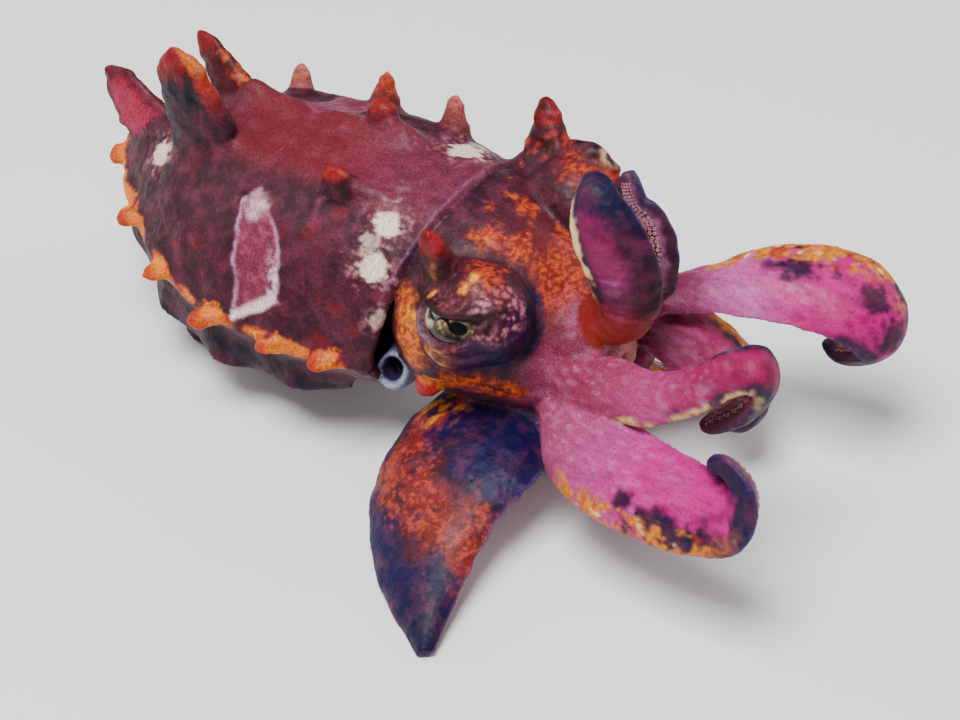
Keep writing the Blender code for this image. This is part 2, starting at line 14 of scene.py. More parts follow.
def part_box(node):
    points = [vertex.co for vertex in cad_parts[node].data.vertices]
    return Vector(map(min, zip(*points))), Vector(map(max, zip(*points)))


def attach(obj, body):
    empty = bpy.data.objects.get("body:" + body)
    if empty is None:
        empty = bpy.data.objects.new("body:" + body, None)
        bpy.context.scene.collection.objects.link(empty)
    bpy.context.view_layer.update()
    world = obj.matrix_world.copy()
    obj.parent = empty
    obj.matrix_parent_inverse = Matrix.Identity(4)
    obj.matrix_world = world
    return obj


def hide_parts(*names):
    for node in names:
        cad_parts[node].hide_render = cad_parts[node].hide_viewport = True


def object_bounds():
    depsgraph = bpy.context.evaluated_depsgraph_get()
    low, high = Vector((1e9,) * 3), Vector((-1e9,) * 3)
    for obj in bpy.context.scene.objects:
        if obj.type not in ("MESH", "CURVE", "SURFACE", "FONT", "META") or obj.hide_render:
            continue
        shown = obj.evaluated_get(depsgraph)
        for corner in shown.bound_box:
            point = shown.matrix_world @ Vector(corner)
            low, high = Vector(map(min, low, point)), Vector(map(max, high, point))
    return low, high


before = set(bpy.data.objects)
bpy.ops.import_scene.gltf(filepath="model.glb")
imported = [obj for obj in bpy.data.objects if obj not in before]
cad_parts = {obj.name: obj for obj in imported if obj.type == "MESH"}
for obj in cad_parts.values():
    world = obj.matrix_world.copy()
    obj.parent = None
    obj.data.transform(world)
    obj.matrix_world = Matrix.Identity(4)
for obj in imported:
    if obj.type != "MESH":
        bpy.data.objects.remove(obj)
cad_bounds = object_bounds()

MM = 0.001
VOXEL = 0.26

# Mantle stations: x, half width, height of keel, top and underside
MANTLE_STATIONS = np.array([
    (0.0, 1.2, 20.8, 21.8, 19.6), (2.0, 4.0, 20.6, 23.6, 17.4), (5.0, 6.8, 20.3, 25.6, 15.0),
    (8.0, 9.3, 19.9, 27.2, 13.2), (13.6, 13.4, 19.3, 29.9, 10.8), (20.0, 17.2, 18.7, 32.4, 9.0),
    (25.0, 19.2, 18.2, 33.8, 8.2), (30.6, 20.4, 18.0, 35.0, 7.7), (36.0, 20.9, 18.0, 36.0, 7.5),
    (45.0, 20.4, 18.0, 37.0, 7.7), (51.0, 19.4, 18.0, 37.4, 8.3), (56.0, 18.1, 18.0, 37.5, 9.2),
])
MANTLE_LENGTH = 56.0
COLLAR_FORWARD = 3.2
KEEL_BULGE = 1.1
# How far in from the mantle's front rim the rings of the collar lie, and how far forward
COLLAR_RINGS = [(0.25, 0.45), (0.6, 0.8), (1.1, 0.95), (1.6, 0.8), (2.0, 0.4), (2.2, -0.4), (2.8, -4.5)]

# Head stations: x, middle height, half width, rise, drop
HEAD_STATIONS = [
    (52.0, 21.5, 11.5, 9.5, 8.0), (56.0, 22.0, 12.6, 12.0, 9.6), (58.5, 22.8, 15.0, 13.6, 11.4),
    (62.0, 23.0, 16.3, 13.9, 12.2), (67.0, 22.6, 15.8, 13.4, 12.0), (72.0, 21.6, 13.6, 12.0, 11.0),
    (77.0, 20.4, 11.2, 10.2, 9.8), (83.0, 19.4, 10.2, 9.3, 9.0),
]
HEAD_ROLL = math.radians(8.0)
CROWN_X, CROWN_Z, CROWN_CUP = 83.0, 19.4, 2.5
# How far in from the head's front rim the rings of the arm crown lie, and how far forward
CROWN_RINGS = [(0.3, 0.5), (1.0, 0.9), (2.0, 0.95), (3.2, 0.6), (4.0, -0.4), (4.6, -CROWN_CUP)]
EYE_BULGE = (69.6, 10.8, 30.9)
EYE_BULGE_RADII = (7.0, 6.4, 6.8)
EYE_LOOK = (-0.36, 0.9, -0.24)
EYE_RADIUS = 5.0
EYE_SINK = 2.6
LID_RADIUS = EYE_RADIUS + 0.55

# The opening between the lids: where its middle lies on the right eyeball, and its size there
OPENING_LOOK = (0.05, -0.87, 0.48)
OPENING_HALF, OPENING_DROP, OPENING_LIFT, OPENING_BACK = 3.75, 2.9, 1.4, 0.45

FIN_WIDTH, FIN_START, FIN_END = 4.4, 3.0, 53.0
# Across a fin: share of its reach and half its thickness
FIN_STEPS = [(0.0, 1.0), (0.2, 0.92), (0.45, 0.8), (0.65, 0.68), (0.8, 0.55), (0.92, 0.46), (1.0, 0.35)]
FLAP_X, FLAP_Y, FLAP_SIZE = 24.0, 9.5, (10.0, 4.6)
# Rings of a walking flap: height, and length and width as shares of its size
FLAP_RINGS = [
    (12.0, 1.15, 1.3), (9.0, 1.06, 1.12), (7.0, 1.0, 1.0), (5.0, 0.95, 0.94), (3.5, 0.92, 0.9),
    (2.0, 0.87, 0.88), (0.8, 0.8, 0.85), (0.15, 0.74, 0.8),
]

# Each arm: root to tip stations of (x, y, z, width), and the way its outer face looks at the root and middle
ARMS = {
    "arm_1_right": ([
        (77.5, -3.0, 25.0, 6.5), (81.6, -4.2, 28.4, 7.0), (85.4, -5.2, 32.0, 7.8), (86.6, -5.9, 36.2, 8.8),
        (85.6, -6.3, 40.6, 9.4), (83.6, -6.4, 44.4, 9.0), (82.0, -6.0, 47.2, 7.2), (80.9, -5.2, 48.8, 5.2),
        (80.0, -4.2, 48.8, 3.4), (79.6, -3.6, 47.4, 1.8),
    ], [(0.0, -0.4, 0.92), (0.35, -0.85, 0.2)]),
    "arm_1_left": ([
        (77.5, 3.0, 25.0, 6.5), (81.8, 2.2, 28.2, 7.0), (85.2, 1.0, 32.4, 7.2), (86.4, 0.3, 37.4, 6.8),
        (86.2, -0.1, 41.6, 6.2), (85.4, -0.5, 44.2, 4.8), (84.3, -0.8, 45.2, 3.6), (83.4, -0.7, 46.6, 3.5),
        (82.7, -0.4, 48.0, 3.0), (82.4, -0.2, 49.0, 1.4),
    ], [(0.0, 0.4, 0.92), (-0.1, 0.9, 0.4)]),
    "arm_2_right": ([
        (77.0, -7.4, 22.0, 6.0), (82.5, -9.0, 22.6, 8.0), (87.0, -9.5, 24.0, 7.6), (92.6, -9.8, 25.2, 7.0),
        (98.4, -9.6, 29.4, 6.4), (102.4, -9.0, 33.6, 6.2), (105.4, -8.2, 35.4, 6.2), (106.0, -6.8, 32.4, 6.6),
        (103.6, -6.0, 27.2, 6.6), (100.2, -6.2, 23.2, 4.6), (98.6, -6.4, 21.4, 2.0),
    ], [(-0.1, -0.8, 0.6), (-0.2, -0.6, 0.75)]),
    "arm_2_left": ([
        (77.0, 7.4, 22.0, 6.0), (82.5, 10.5, 22.5, 8.0), (88.4, 13.4, 24.6, 8.6), (94.0, 16.0, 26.4, 11.0),
        (100.0, 18.2, 27.2, 12.8), (106.0, 19.6, 26.2, 12.8), (109.4, 20.4, 21.8, 10.0),
        (106.4, 20.6, 17.8, 6.4), (103.6, 20.4, 16.6, 3.8), (102.2, 20.2, 18.0, 1.8),
    ], [(-0.1, 0.3, 0.9), (0.1, -0.35, 0.93)]),
    "arm_3_right": ([
        (77.0, -7.4, 16.2, 6.5), (82.0, -11.6, 17.4, 10.5), (86.8, -14.2, 17.4, 12.5),
        (92.2, -15.8, 17.5, 12.4), (98.6, -16.9, 18.2, 12.0), (104.4, -17.2, 19.0, 11.0),
        (109.4, -17.2, 21.4, 9.4), (109.8, -16.6, 25.6, 6.6), (107.0, -16.0, 27.2, 4.2),
        (104.8, -15.6, 25.8, 2.0),
    ], [(-0.2, -0.85, 0.4), (0.15, -0.65, 0.75)]),
    "arm_3_left": ([
        (77.0, 7.4, 16.2, 6.5), (82.0, 8.6, 18.2, 9.0), (86.6, 9.4, 18.2, 11.0), (91.0, 9.8, 16.6, 11.0),
        (94.8, 9.4, 14.6, 9.5), (97.2, 8.4, 12.6, 7.0), (96.8, 7.2, 10.6, 4.5), (94.4, 6.6, 10.2, 2.0),
    ], [(-0.2, 0.6, 0.75), (0.2, -0.2, 0.95)]),
    "arm_4_right": ([
        (77.0, -2.6, 12.4, 8.0), (74.6, -6.8, 11.4, 15.0), (72.0, -11.4, 10.4, 20.5),
        (70.8, -17.2, 9.1, 22.5), (71.2, -23.6, 7.0, 20.5), (73.6, -29.6, 4.6, 16.0),
        (76.6, -34.4, 2.7, 11.0), (79.4, -38.0, 1.3, 6.0), (81.6, -41.0, 0.7, 2.2),
    ], [(-0.1, -0.4, 0.9), (-0.22, -0.32, 0.92)]),
    "arm_4_left": ([
        (77.0, 3.6, 12.2, 7.0), (79.5, 7.5, 9.6, 11.0), (81.8, 11.4, 6.6, 13.0), (83.8, 14.8, 3.6, 11.5),
        (86.2, 17.8, 1.5, 8.0), (89.0, 20.6, 0.8, 3.0),
    ], [(-0.1, 0.4, 0.9), (-0.25, 0.5, 0.83)]),
}
ARM_NAMES = list(ARMS)

# Papillae: root, tip, width along the body, thickness, taper
BACK_PAPILLAE = [
    ((10.4, -3.2, 23.4), (-1.6, -2.0, 32.8), 12.6, 4.0, 0.5, 0.0, 1.2),
    ((23.2, -7.2, 28.6), (16.9, -7.2, 45.4), 11.0, 4.0, 0.06),
    ((20.4, 3.6, 29.4), (10.2, 5.0, 39.2), 8.6, 3.8, 0.5),
    ((46.6, -8.0, 32.4), (44.4, -8.8, 39.0), 6.4, 3.6, 0.1),
    ((44.0, 3.0, 34.0), (42.4, 4.0, 41.2), 6.4, 4.4, 0.3),
    ((36.6, 12.0, 31.0), (36.8, 12.8, 38.6), 4.6, 3.2, 0.4),
    ((22.4, 11.0, 27.0), (22.0, 12.5, 34.2), 4.6, 3.2, 0.4),
    ((48.8, 11.0, 32.0), (48.4, 12.5, 39.4), 4.8, 3.2, 0.4),
    ((34.4, -12.8, 28.6), (34.2, -13.4, 33.0), 4.6, 3.4, 0.2),
    ((52.4, -4.6, 34.0), (52.2, -4.8, 38.0), 4.0, 3.2, 0.2),
]
HEAD_PAPILLAE = [
    ((65.0, -12.0, 31.0), (63.6, -15.0, 41.2), 5.0, 4.0, 0.15),
    ((64.4, 11.5, 33.0), (61.2, 14.6, 42.8), 8.0, 5.4, 0.5),
    ((69.0, 10.6, 32.0), (70.6, 12.4, 40.4), 12.4, 5.4, 0.3, 0.0, 1.0),
    ((66.0, -12.6, 22.6), (62.9, -16.2, 15.0), 5.6, 3.8, 0.35),
    ((66.0, 12.0, 23.5), (62.8, 16.6, 17.4), 4.6, 3.4, 0.4),
]
# Folds that join the papillae of the back: from, to, height, breadth
BACK_FOLDS = [
    ((20.6, 3.6), (45.0, 3.2), 1.9, 2.3), ((23.0, -7.2), (47.0, -8.2), 1.1, 2.1),
    ((47.0, -8.2), (55.0, -6.0), 0.6, 1.4), ((10.0, -3.2), (22.0, -6.6), 0.8, 2.4),
    ((22.4, 11.0), (48.8, 11.0), 0.9, 2.0), ((17.5, 3.9), (20.5, 3.7), 2.0, 3.4),
    ((20.5, -6.6), (24.5, -7.3), 1.7, 3.2), ((8.5, -3.0), (12.5, -3.8), 1.4, 2.8),
    ((42.5, 3.2), (46.5, 3.0), 1.4, 2.4), ((45.5, -8.0), (49.5, -7.6), 0.8, 2.0),
]

# Webs between neighbouring arms: the two arms, how far along each the web reaches, its thickness
WEBS = [
    ("arm_2_right", "arm_3_right", 0.23, 0.25, 5.0), ("arm_2_left", "arm_3_left", 0.30, 0.34, 4.5),
    ("arm_1_right", "arm_2_right", 0.10, 0.10, 5.0), ("arm_1_left", "arm_2_left", 0.16, 0.14, 5.0),
    ("arm_3_left", "arm_4_left", 0.22, 0.24, 4.0), ("arm_3_right", "arm_4_right", 0.10, 0.06, 4.0),
]
KEEL_PAPILLAE = [(2.0, 3.0), (12.0, 4.0), (22.0, 4.6), (33.0, 5.0), (43.0, 3.6), (50.5, 3.0)]

# Kinds of flesh, stored on each point of the forms
MANTLE, HEAD, FIN, FUNNEL, MOUTH, FLAP, BACK, KEEL, HORN, LID, WEB, BULGE = range(12)
FIRST_ARM = 20


def unit(vector):
    vector = np.asarray(vector, float)
    return vector / np.linalg.norm(vector)


def full_turn(count):
    """Evenly spaced angles round a circle."""
    return 2 * math.pi * np.arange(count) / count


def hoop(turns, half, across, tall, up):
    """An oval ring about the origin, from its half axes and their ways."""
    return np.outer(np.cos(turns) * half, across) + np.outer(np.sin(turns) * tall, up)


def smooth_line(rows, places):
    """Points on a smooth curve through the rows, at shares of its length. Extra columns follow along."""
    rows = np.asarray(rows, float)
    knots = np.concatenate([[0.0], np.cumsum(np.linalg.norm(np.diff(rows[:, :3], axis=0), axis=1))])
    padded = np.vstack([2 * rows[0] - rows[1], rows, 2 * rows[-1] - rows[-2]])
    out = []
    for place in np.asarray(places) * knots[-1]:
        i = min(max(int(np.searchsorted(knots, place, side="right")) - 1, 0), len(rows) - 2)
        t = (place - knots[i]) / (knots[i + 1] - knots[i])
        a, b, c, d = padded[i : i + 4]
        square, cube = 2 * a - 5 * b + 4 * c - d, 3 * b - a - 3 * c + d
        out.append(0.5 * (2 * b + (c - a) * t + square * t**2 + cube * t**3))
    return np.array(out)


class Forms:
    """Closed forms gathered for one mesh, with a kind and three measures stored on every point."""

    def __init__(self):
        self.points, self.faces, self.marks = [], [], []
        self.count = 0

    def loft(self, rings, kind, along=None, side=None, lift=None):
        """Joins rings of points to a closed form, with a fan over the first and the last ring."""
        rings = np.asarray(rings, float)
        count, around = rings.shape[:2]
        base = self.count
        points = np.vstack([rings.reshape(-1, 3), rings[0].mean(0), rings[-1].mean(0)])
        i, j = np.meshgrid(np.arange(count - 1), np.arange(around), indexing="ij")
        a, b = i * around + j, i * around + (j + 1) % around
        quads = np.stack([a, b, b + around, a + around], -1).reshape(-1, 4) + base
        turn = np.arange(around)
        first, last = np.full(around, count * around), np.full(around, count * around + 1)
        nose = np.stack([first, (turn + 1) % around, turn], -1) + base
        edge = (count - 1) * around
        tail = np.stack([last, edge + turn, edge + (turn + 1) % around], -1) + base
        self.faces += quads.tolist() + nose.tolist() + tail.tolist()
        marks = np.zeros((len(points), 4))
        marks[:, 0] = kind
        along = np.linspace(0, 1, count) if along is None else np.asarray(along)
        marks[:-2, 1] = np.repeat(along, around)
        marks[-2:, 1] = along[0], along[-1]
        if side is not None:
            marks[:-2, 2], marks[:-2, 3] = np.tile(side, count), np.tile(lift, count)
        self.points.append(points)
        self.marks.append(marks)
        self.count += len(points)


def fold_lift(x, y):
    """How far the folds between the papillae raise the back."""
    lift = 0.0
    for start, end, height, breadth in BACK_FOLDS:
        run, rise = end[0] - start[0], end[1] - start[1]
        share = min(max(((x - start[0]) * run + (y - start[1]) * rise) / (run**2 + rise**2), 0.0), 1.0)
        away = math.hypot(x - start[0] - run * share, y - start[1] - rise * share)
        lift += height * (0.55 + 0.45 * abs(2 * share - 1) ** 2) * math.exp(-((away / breadth) ** 2))
    return lift


def mantle_column(x, column):
    """A measure of the mantle's stations at any place along it."""
    return np.interp(x, MANTLE_STATIONS[:, 0], MANTLE_STATIONS[:, column])


def mantle_point(x, turn):
    """A point of the mantle: turn is 0 at the right keel, a quarter turn on the back, half at the left."""
    half, keel_z, top, under = (mantle_column(x, i) for i in range(1, 5))
    side, height = math.cos(turn), math.sin(turn)
    bulge = KEEL_BULGE * math.exp(-((height / 0.2) ** 2)) * min(1.0, x / 6.0)
    front = (x / MANTLE_LENGTH) ** 6
    if height >= 0:
        y = -half * side
        z = keel_z + (top - keel_z) * height + fold_lift(x, y) * min(1.0, 2 * height)
        x += COLLAR_FORWARD * height**2 * front
    else:
        y = -half * math.copysign(abs(side) ** 0.85, side)
        z = keel_z - (keel_z - under) * abs(height) ** 0.85
        x -= 0.6 * COLLAR_FORWARD * height**2 * front
    return (x, y - math.copysign(bulge, side), z)


def inset_ring(ring, inset, forward):
    """The ring drawn in towards its middle and moved forward."""
    ring = np.asarray(ring)
    middle = ring.mean(0)
    out = ring - middle
    lengths = np.linalg.norm(out, axis=1, keepdims=True)
    moved = middle + out * (lengths - inset) / lengths
    moved[:, 0] += forward
    return moved


def mantle_form(forms, stations=110, around=150):
    rings = []
    for share in np.linspace(0, 1, stations):
        x = MANTLE_LENGTH * (share - 0.35 * math.sin(math.pi * share) / math.pi)
        rings.append([mantle_point(x, 2 * math.pi * j / around) for j in range(around)])
    rings += [inset_ring(rings[-1], inset, forward) for inset, forward in COLLAR_RINGS]
    forms.loft(rings, MANTLE)


def blade(forms, kind, root, tip, width, thickness, taper=0.3, bend=0.0, flare=2.1, around=32, stations=30):
    """A flat papilla: a tapering blade with a round end and a root that flares into the skin."""
    root, tip = np.array(root, float), np.array(tip, float)
    axis = unit(tip - root)
    wide = unit(np.array((1.0, 0.0, 0.0)) - axis * axis[0])
    thick = np.cross(axis, wide)
    turns = full_turn(around)
    along = 1.0 - (1.0 - np.linspace(0, 1, stations)) ** 1.5
    rings = []
    for share in along:
        size = max(max(1.0 - share**5, 0.0) ** 0.5 * (1.0 - taper * share), 0.1)
        swell = 0.5 * (flare - 1.0) * thickness * (1.0 - share) ** 4
        knobs = 1.0 + 0.05 * math.sin(17 * share) + 0.04 * math.sin(31 * share + 1.0)
        centre = root + (tip - root) * share + wide * bend * math.sin(math.pi * share)
        turned = min(1.3 * share, 1.0)
        level = unit(wide * turned + np.array((1.0, 0.0, 0.0)) * (1.0 - turned))
        half = 0.5 * width * size * knobs + swell
        rings.append(centre + hoop(turns, half, level, 0.5 * thickness * size + swell, thick))
    forms.loft(rings, kind, along, np.cos(turns), np.sin(turns))


def keel_forms(forms):
    for side in (0, 1):
        for x, length in KEEL_PAPILLAE:
            root = np.array(mantle_point(x + 0.6 * side, math.pi * side))
            out = unit((-0.55 - 0.9 * (x < 3.0), -1.0 + 2.0 * side, -0.15))
            blade(forms, KEEL, root - out * 2.4, root + out * length * 0.62, 4.6, 2.5)


def fin_form(forms, side, stations=150):
    rings = []
    for share in np.linspace(0, 1, stations):
        x = FIN_START + (FIN_END - FIN_START) * share
        root = np.array(mantle_point(x, math.pi if side > 0 else 0.0))
        root[1] -= side * 2.8
        root[2] -= 2.8
        reach = FIN_WIDTH * math.sin(math.pi * (share * 0.94 + 0.03)) ** 0.45 + 2.0
        wave = math.sin(share * math.pi * 8.0 + side) * 0.9
        out = unit((-0.15 * (1 - share), side * 0.22, -0.95))
        up = unit((0.0, side * 0.95, 0.22))
        ring = [root + out * reach * t + up * (wave * t * t + thick) for t, thick in FIN_STEPS]
        ring += [root + out * reach * t + up * (wave * t * t - thick) for t, thick in reversed(FIN_STEPS)]
        rings.append(ring)
    forms.loft(rings, FIN)


def flap_form(forms, side):
    rings = []
    turns = full_turn(40)
    for height, length, width in FLAP_RINGS:
        below = FLAP_RINGS[0][0] - height
        rings.append(np.stack([
            FLAP_X - 0.25 * below + 0.5 * FLAP_SIZE[0] * length * np.cos(turns),
            side * (FLAP_Y + 0.12 * below) + 0.5 * FLAP_SIZE[1] * width * np.sin(turns),
            np.full(len(turns), height),
        ], -1))
    forms.loft(rings, FLAP)


def rolled(point):
    """The head leans a little to the right, about a line along the body."""
    x, y, z = point
    c, s = math.cos(HEAD_ROLL), math.sin(HEAD_ROLL)
    dz = z - CROWN_Z
    return (x, y * c - dz * s, CROWN_Z + y * s + dz * c)


def head_form(forms, stations=80, around=110):
    rings = []
    for x, middle, half, rise, drop in smooth_line(HEAD_STATIONS, np.linspace(0, 1, stations)):
        ring = []
        for j in range(around):
            turn = 2 * math.pi * j / around
            height = math.sin(turn)
            tall = rise if height > 0 else drop
            ring.append(rolled((x, half * math.cos(turn), middle + tall * height)))
        rings.append(ring)
    rings += [inset_ring(rings[-1], inset, forward) for inset, forward in CROWN_RINGS]
    forms.loft(rings, HEAD)


def ball_form(forms, kind, centre, radii, count=40):
    rings = []
    turns = full_turn(2 * count)
    for polar in np.linspace(0.02, math.pi - 0.02, count):
        ring = np.stack([np.sin(polar) * np.cos(turns), np.sin(polar) * np.sin(turns),
                         np.full_like(turns, math.cos(polar))], -1)
        rings.append(ring * radii + np.array(centre))
    forms.loft(rings, kind)


def bulge_centre(side):
    return rolled((EYE_BULGE[0], side * EYE_BULGE[1], EYE_BULGE[2]))


def eye_centre(side):
    look = unit((EYE_LOOK[0], side * EYE_LOOK[1], EYE_LOOK[2]))
    return np.array(rolled(np.array([EYE_BULGE[0], side * EYE_BULGE[1], EYE_BULGE[2]]) + look * EYE_SINK))


def opening_frame(side):
    """The way the opening of the lids faces, forward along it and up across it."""
    look = unit((OPENING_LOOK[0], -side * OPENING_LOOK[1], OPENING_LOOK[2]))
    ahead = unit(np.array([1.0, 0.0, 0.0]) - look * look[0])
    up = np.cross(ahead, look)
    return look, ahead, up if up[2] > 0 else -up


def on_eye(points, side):
    """Points as seen from the eyeball's centre: distance, ahead, up and how far they face outward."""
    away = points - eye_centre(side)
    reach = np.linalg.norm(away, axis=1)
    look, ahead, up = opening_frame(side)
    way = away / np.maximum(reach, 1e-6)[:, None]
    return reach, way @ ahead * EYE_RADIUS, way @ up * EYE_RADIUS, way @ look


def opening_depth(ahead, up):
    """How far inside the opening a place on the eyeball lies, in millimetres, below zero outside it."""
    across, down = (ahead + OPENING_BACK) / OPENING_HALF, (up - OPENING_LIFT) / OPENING_DROP
    bowl = 1.0 - np.sqrt(across**2 + down**2)
    upper = 1.5 + 0.14 * ahead + 0.03 * ahead**2
    return np.minimum(bowl * OPENING_DROP, upper - up)


# Funnel stations, middle and radius, and the rings that turn into its mouth, size and place ahead
FUNNEL_LINE = [
    (54.0, -3.0, 13.8, 4.2), (55.5, -8.0, 13.6, 3.6), (57.2, -12.0, 14.6, 3.1), (57.9, -15.2, 16.0, 2.6),
]
FUNNEL_END = [(0.92, 0.35), (0.8, 0.45), (0.68, 0.3), (0.6, -0.2), (0.55, -1.0), (0.5, -3.0)]


def funnel_form(forms, around=48):
    rows = smooth_line(FUNNEL_LINE, np.linspace(0, 1, 24))
    turns = full_turn(around)
    rings = []
    for i, row in enumerate(rows):
        before, after = rows[max(i - 1, 0)], rows[min(i + 1, len(rows) - 1)]
        axis = unit(after[:3] - before[:3])
        side = unit(np.cross(axis, (0, 0, 1)))
        up = np.cross(side, axis)
        rings.append(row[:3] + hoop(turns, 0.85 * row[3], side, row[3], up))
    axis = unit(rows[-1][:3] - rows[-2][:3])
    end = rows[-1][:3]
    mouth = rings[-1] - end
    rings += [mouth * size + end + axis * ahead for size, ahead in FUNNEL_END]
    forms.loft(rings, FUNNEL)


# How far forward the rings of the lips lie, and their radius
LIP_RINGS = [
    (0.0, 3.6), (1.2, 4.0), (1.9, 3.8), (2.4, 3.4), (2.8, 2.9), (3.0, 2.2), (2.9, 1.6), (2.6, 1.2),
    (1.6, 0.8),
]


def mouth_form(forms):
    """The lips round the beak, a low dome with a pit, in the cup of the arm crown."""
    turns = full_turn(48)
    rings = []
    for forward, radius in LIP_RINGS:
        folds = 1.0 + 0.05 * np.cos(12 * turns) * min(1.0, forward)
        rings.append([rolled((CROWN_X - CROWN_CUP + 0.3 + forward, radius * f * math.cos(a),
                              CROWN_Z + radius * f * math.sin(a))) for a, f in zip(turns, folds)])
    forms.loft(rings, MOUTH)


def arm_frames(arm, places):
    """Middle, across, outward, forward and width along an arm. The outer half is carried round its bends."""
    fine = np.linspace(0, 1, 241)
    rows = smooth_line(ARMS[arm][0], fine)
    steps = np.gradient(rows[:, :3], axis=0)
    first, second = (np.array(face, float) for face in ARMS[arm][1])
    face, frames = first, []
    for place, row, step in zip(fine, rows, steps):
        axis = unit(step)
        if place <= 0.5:
            face = first + (second - first) * min(place / 0.4, 1.0)
        face = unit(face - axis * np.dot(face, axis))
        frames.append(np.concatenate([row[:3], np.cross(axis, face), face, axis, [row[3]]]))
    frames = np.array(frames)
    out = []
    for place in places:
        row = np.array([np.interp(place, fine, frames[:, i]) for i in range(13)])
        out.append((row[:3], unit(row[3:6]), unit(row[6:9]), unit(row[9:12]), row[12]))
    return out


def arm_form(forms, arm, stations=170, around=56):
    turns = full_turn(around)
    edge = np.abs(np.cos(turns)) ** 8 * np.sign(np.cos(turns))
    shares = np.linspace(0, 1, stations)
    rings = []
    for share, (middle, across, face, _, width) in zip(shares, arm_frames(arm, shares)):
        outer, inner = 0.95 + 0.13 * width, 0.65 + 0.06 * width
        lift = np.sign(np.sin(turns)) * np.abs(np.sin(turns)) ** 1.6
        lift = np.where(lift > 0, lift * outer, lift * inner)
        ruffle = min(0.03 * width, 0.2) * (share > 0.2) * edge * math.sin(share * 60.0 + ARM_NAMES.index(arm))
        rings.append(middle + np.outer(0.5 * width * np.cos(turns), across) + np.outer(lift + ruffle, face))
    forms.loft(rings, FIRST_ARM + ARM_NAMES.index(arm), None, np.cos(turns), np.sin(turns))


def web_form(forms, first, second, reach_first, reach_second, thickness):
    """A web of skin that joins the bases of two arms and ends in a hollow edge."""
    shares = np.linspace(0.0, 1.0, 24)
    ends = zip(arm_frames(first, shares * reach_first), arm_frames(second, shares * reach_second))
    turns = full_turn(40)
    cross = 0.5 - 0.5 * np.cos(turns)
    rings = []
    for share, (one, two) in zip(shares, ends):
        span = two[0] - one[0]
        face = unit(one[2] + two[2])
        axis = unit(one[3] + two[3])
        hollow = 4 * cross * (1 - cross) * 0.35 * np.linalg.norm(span) * share
        rise = 0.5 * thickness * (1.0 - 0.6 * share) * np.sin(turns)
        rings.append(one[0] + np.outer(cross, span) - np.outer(hollow, axis) + np.outer(rise, face))
    forms.loft(rings, WEB, None, 1 - 2 * cross, np.sin(turns))


def all_forms():
    forms = Forms()
    mantle_form(forms)
    for row in BACK_PAPILLAE:
        blade(forms, BACK, *row)
    keel_forms(forms)
    head_form(forms)
    for row in HEAD_PAPILLAE:
        blade(forms, HORN, *row)
    for side in (-1, 1):
        fin_form(forms, side)
        flap_form(forms, side)
        ball_form(forms, BULGE, bulge_centre(side), EYE_BULGE_RADII)
        ball_form(forms, LID, eye_centre(side), (LID_RADIUS,) * 3)
    funnel_form(forms)
    mouth_form(forms)
    for arm in ARM_NAMES:
        arm_form(forms, arm)
    for web in WEBS:
        web_form(forms, *web)
    return forms


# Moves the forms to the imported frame, by the middle of the right eyeball
eye_low, eye_high = (np.array(corner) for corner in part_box("eye_right"))
SHIFT = (eye_low + eye_high) / 2 / MM - eye_centre(-1)
CAD_LOW, CAD_HIGH = (np.array(corner) / MM - SHIFT for corner in cad_bounds)


def mesh_piece(name, points, faces):
    mesh = bpy.data.meshes.new(name)
    mesh.from_pydata(((np.asarray(points) + SHIFT) * MM).tolist(), [], faces)
    mesh.update()
    piece = bpy.data.objects.new(name, mesh)
    bpy.context.scene.collection.objects.link(piece)
    return piece


def remeshed(piece, voxel):
    modifier = piece.modifiers.new("skin", "REMESH")
    modifier.mode = "VOXEL"
    modifier.voxel_size = voxel * MM
    modifier.use_smooth_shade = True
    done = bpy.data.meshes.new_from_object(piece.evaluated_get(bpy.context.evaluated_depsgraph_get()))
    piece.modifiers.clear()
    piece.data = done
    keep_largest(done)
    return done


class Sheet:
    """The points and edges of a mesh as arrays, in millimetres of the forms."""

    def __init__(self, mesh):
        self.mesh = mesh
        count = len(mesh.vertices)
        points = np.empty(count * 3)
        mesh.vertices.foreach_get("co", points)
        self.points = points.reshape(-1, 3) / MM - SHIFT
        edges = np.empty(len(mesh.edges) * 2, int)
        mesh.edges.foreach_get("vertices", edges)
        self.edges = edges.reshape(-1, 2)
        self.ends = np.concatenate([self.edges[:, 0], self.edges[:, 1]])
        self.others = np.concatenate([self.edges[:, 1], self.edges[:, 0]])
        self.counts = np.maximum(np.bincount(self.ends, minlength=count), 1)

    def around(self, values):
        """Mean of the neighbours' values at each point."""
        if values.ndim == 1:
            return np.bincount(self.ends, values[self.others], len(self.counts)) / self.counts
        return np.stack([self.around(values[:, i]) for i in range(values.shape[1])], -1)

    def spread(self, values, rounds):
        for _ in range(rounds):
            values = 0.5 * values + 0.5 * self.around(values)
        return values

    def relax(self, rounds, weight, shrink=0.0):
        """Evens out the points. With shrink at zero the form keeps its size."""
        for _ in range(rounds):
            for pull in (0.6, -0.62 * (1.0 - shrink)):
                self.points = self.points + (self.around(self.points) - self.points) * pull * weight[:, None]

    def write(self):
        self.mesh.vertices.foreach_set("co", ((self.points + SHIFT) * MM).ravel())
        self.mesh.update()

    def normals(self):
        self.write()
        out = np.empty(len(self.mesh.vertices) * 3)
        self.mesh.vertex_normals.foreach_get("vector", out)
        return out.reshape(-1, 3)


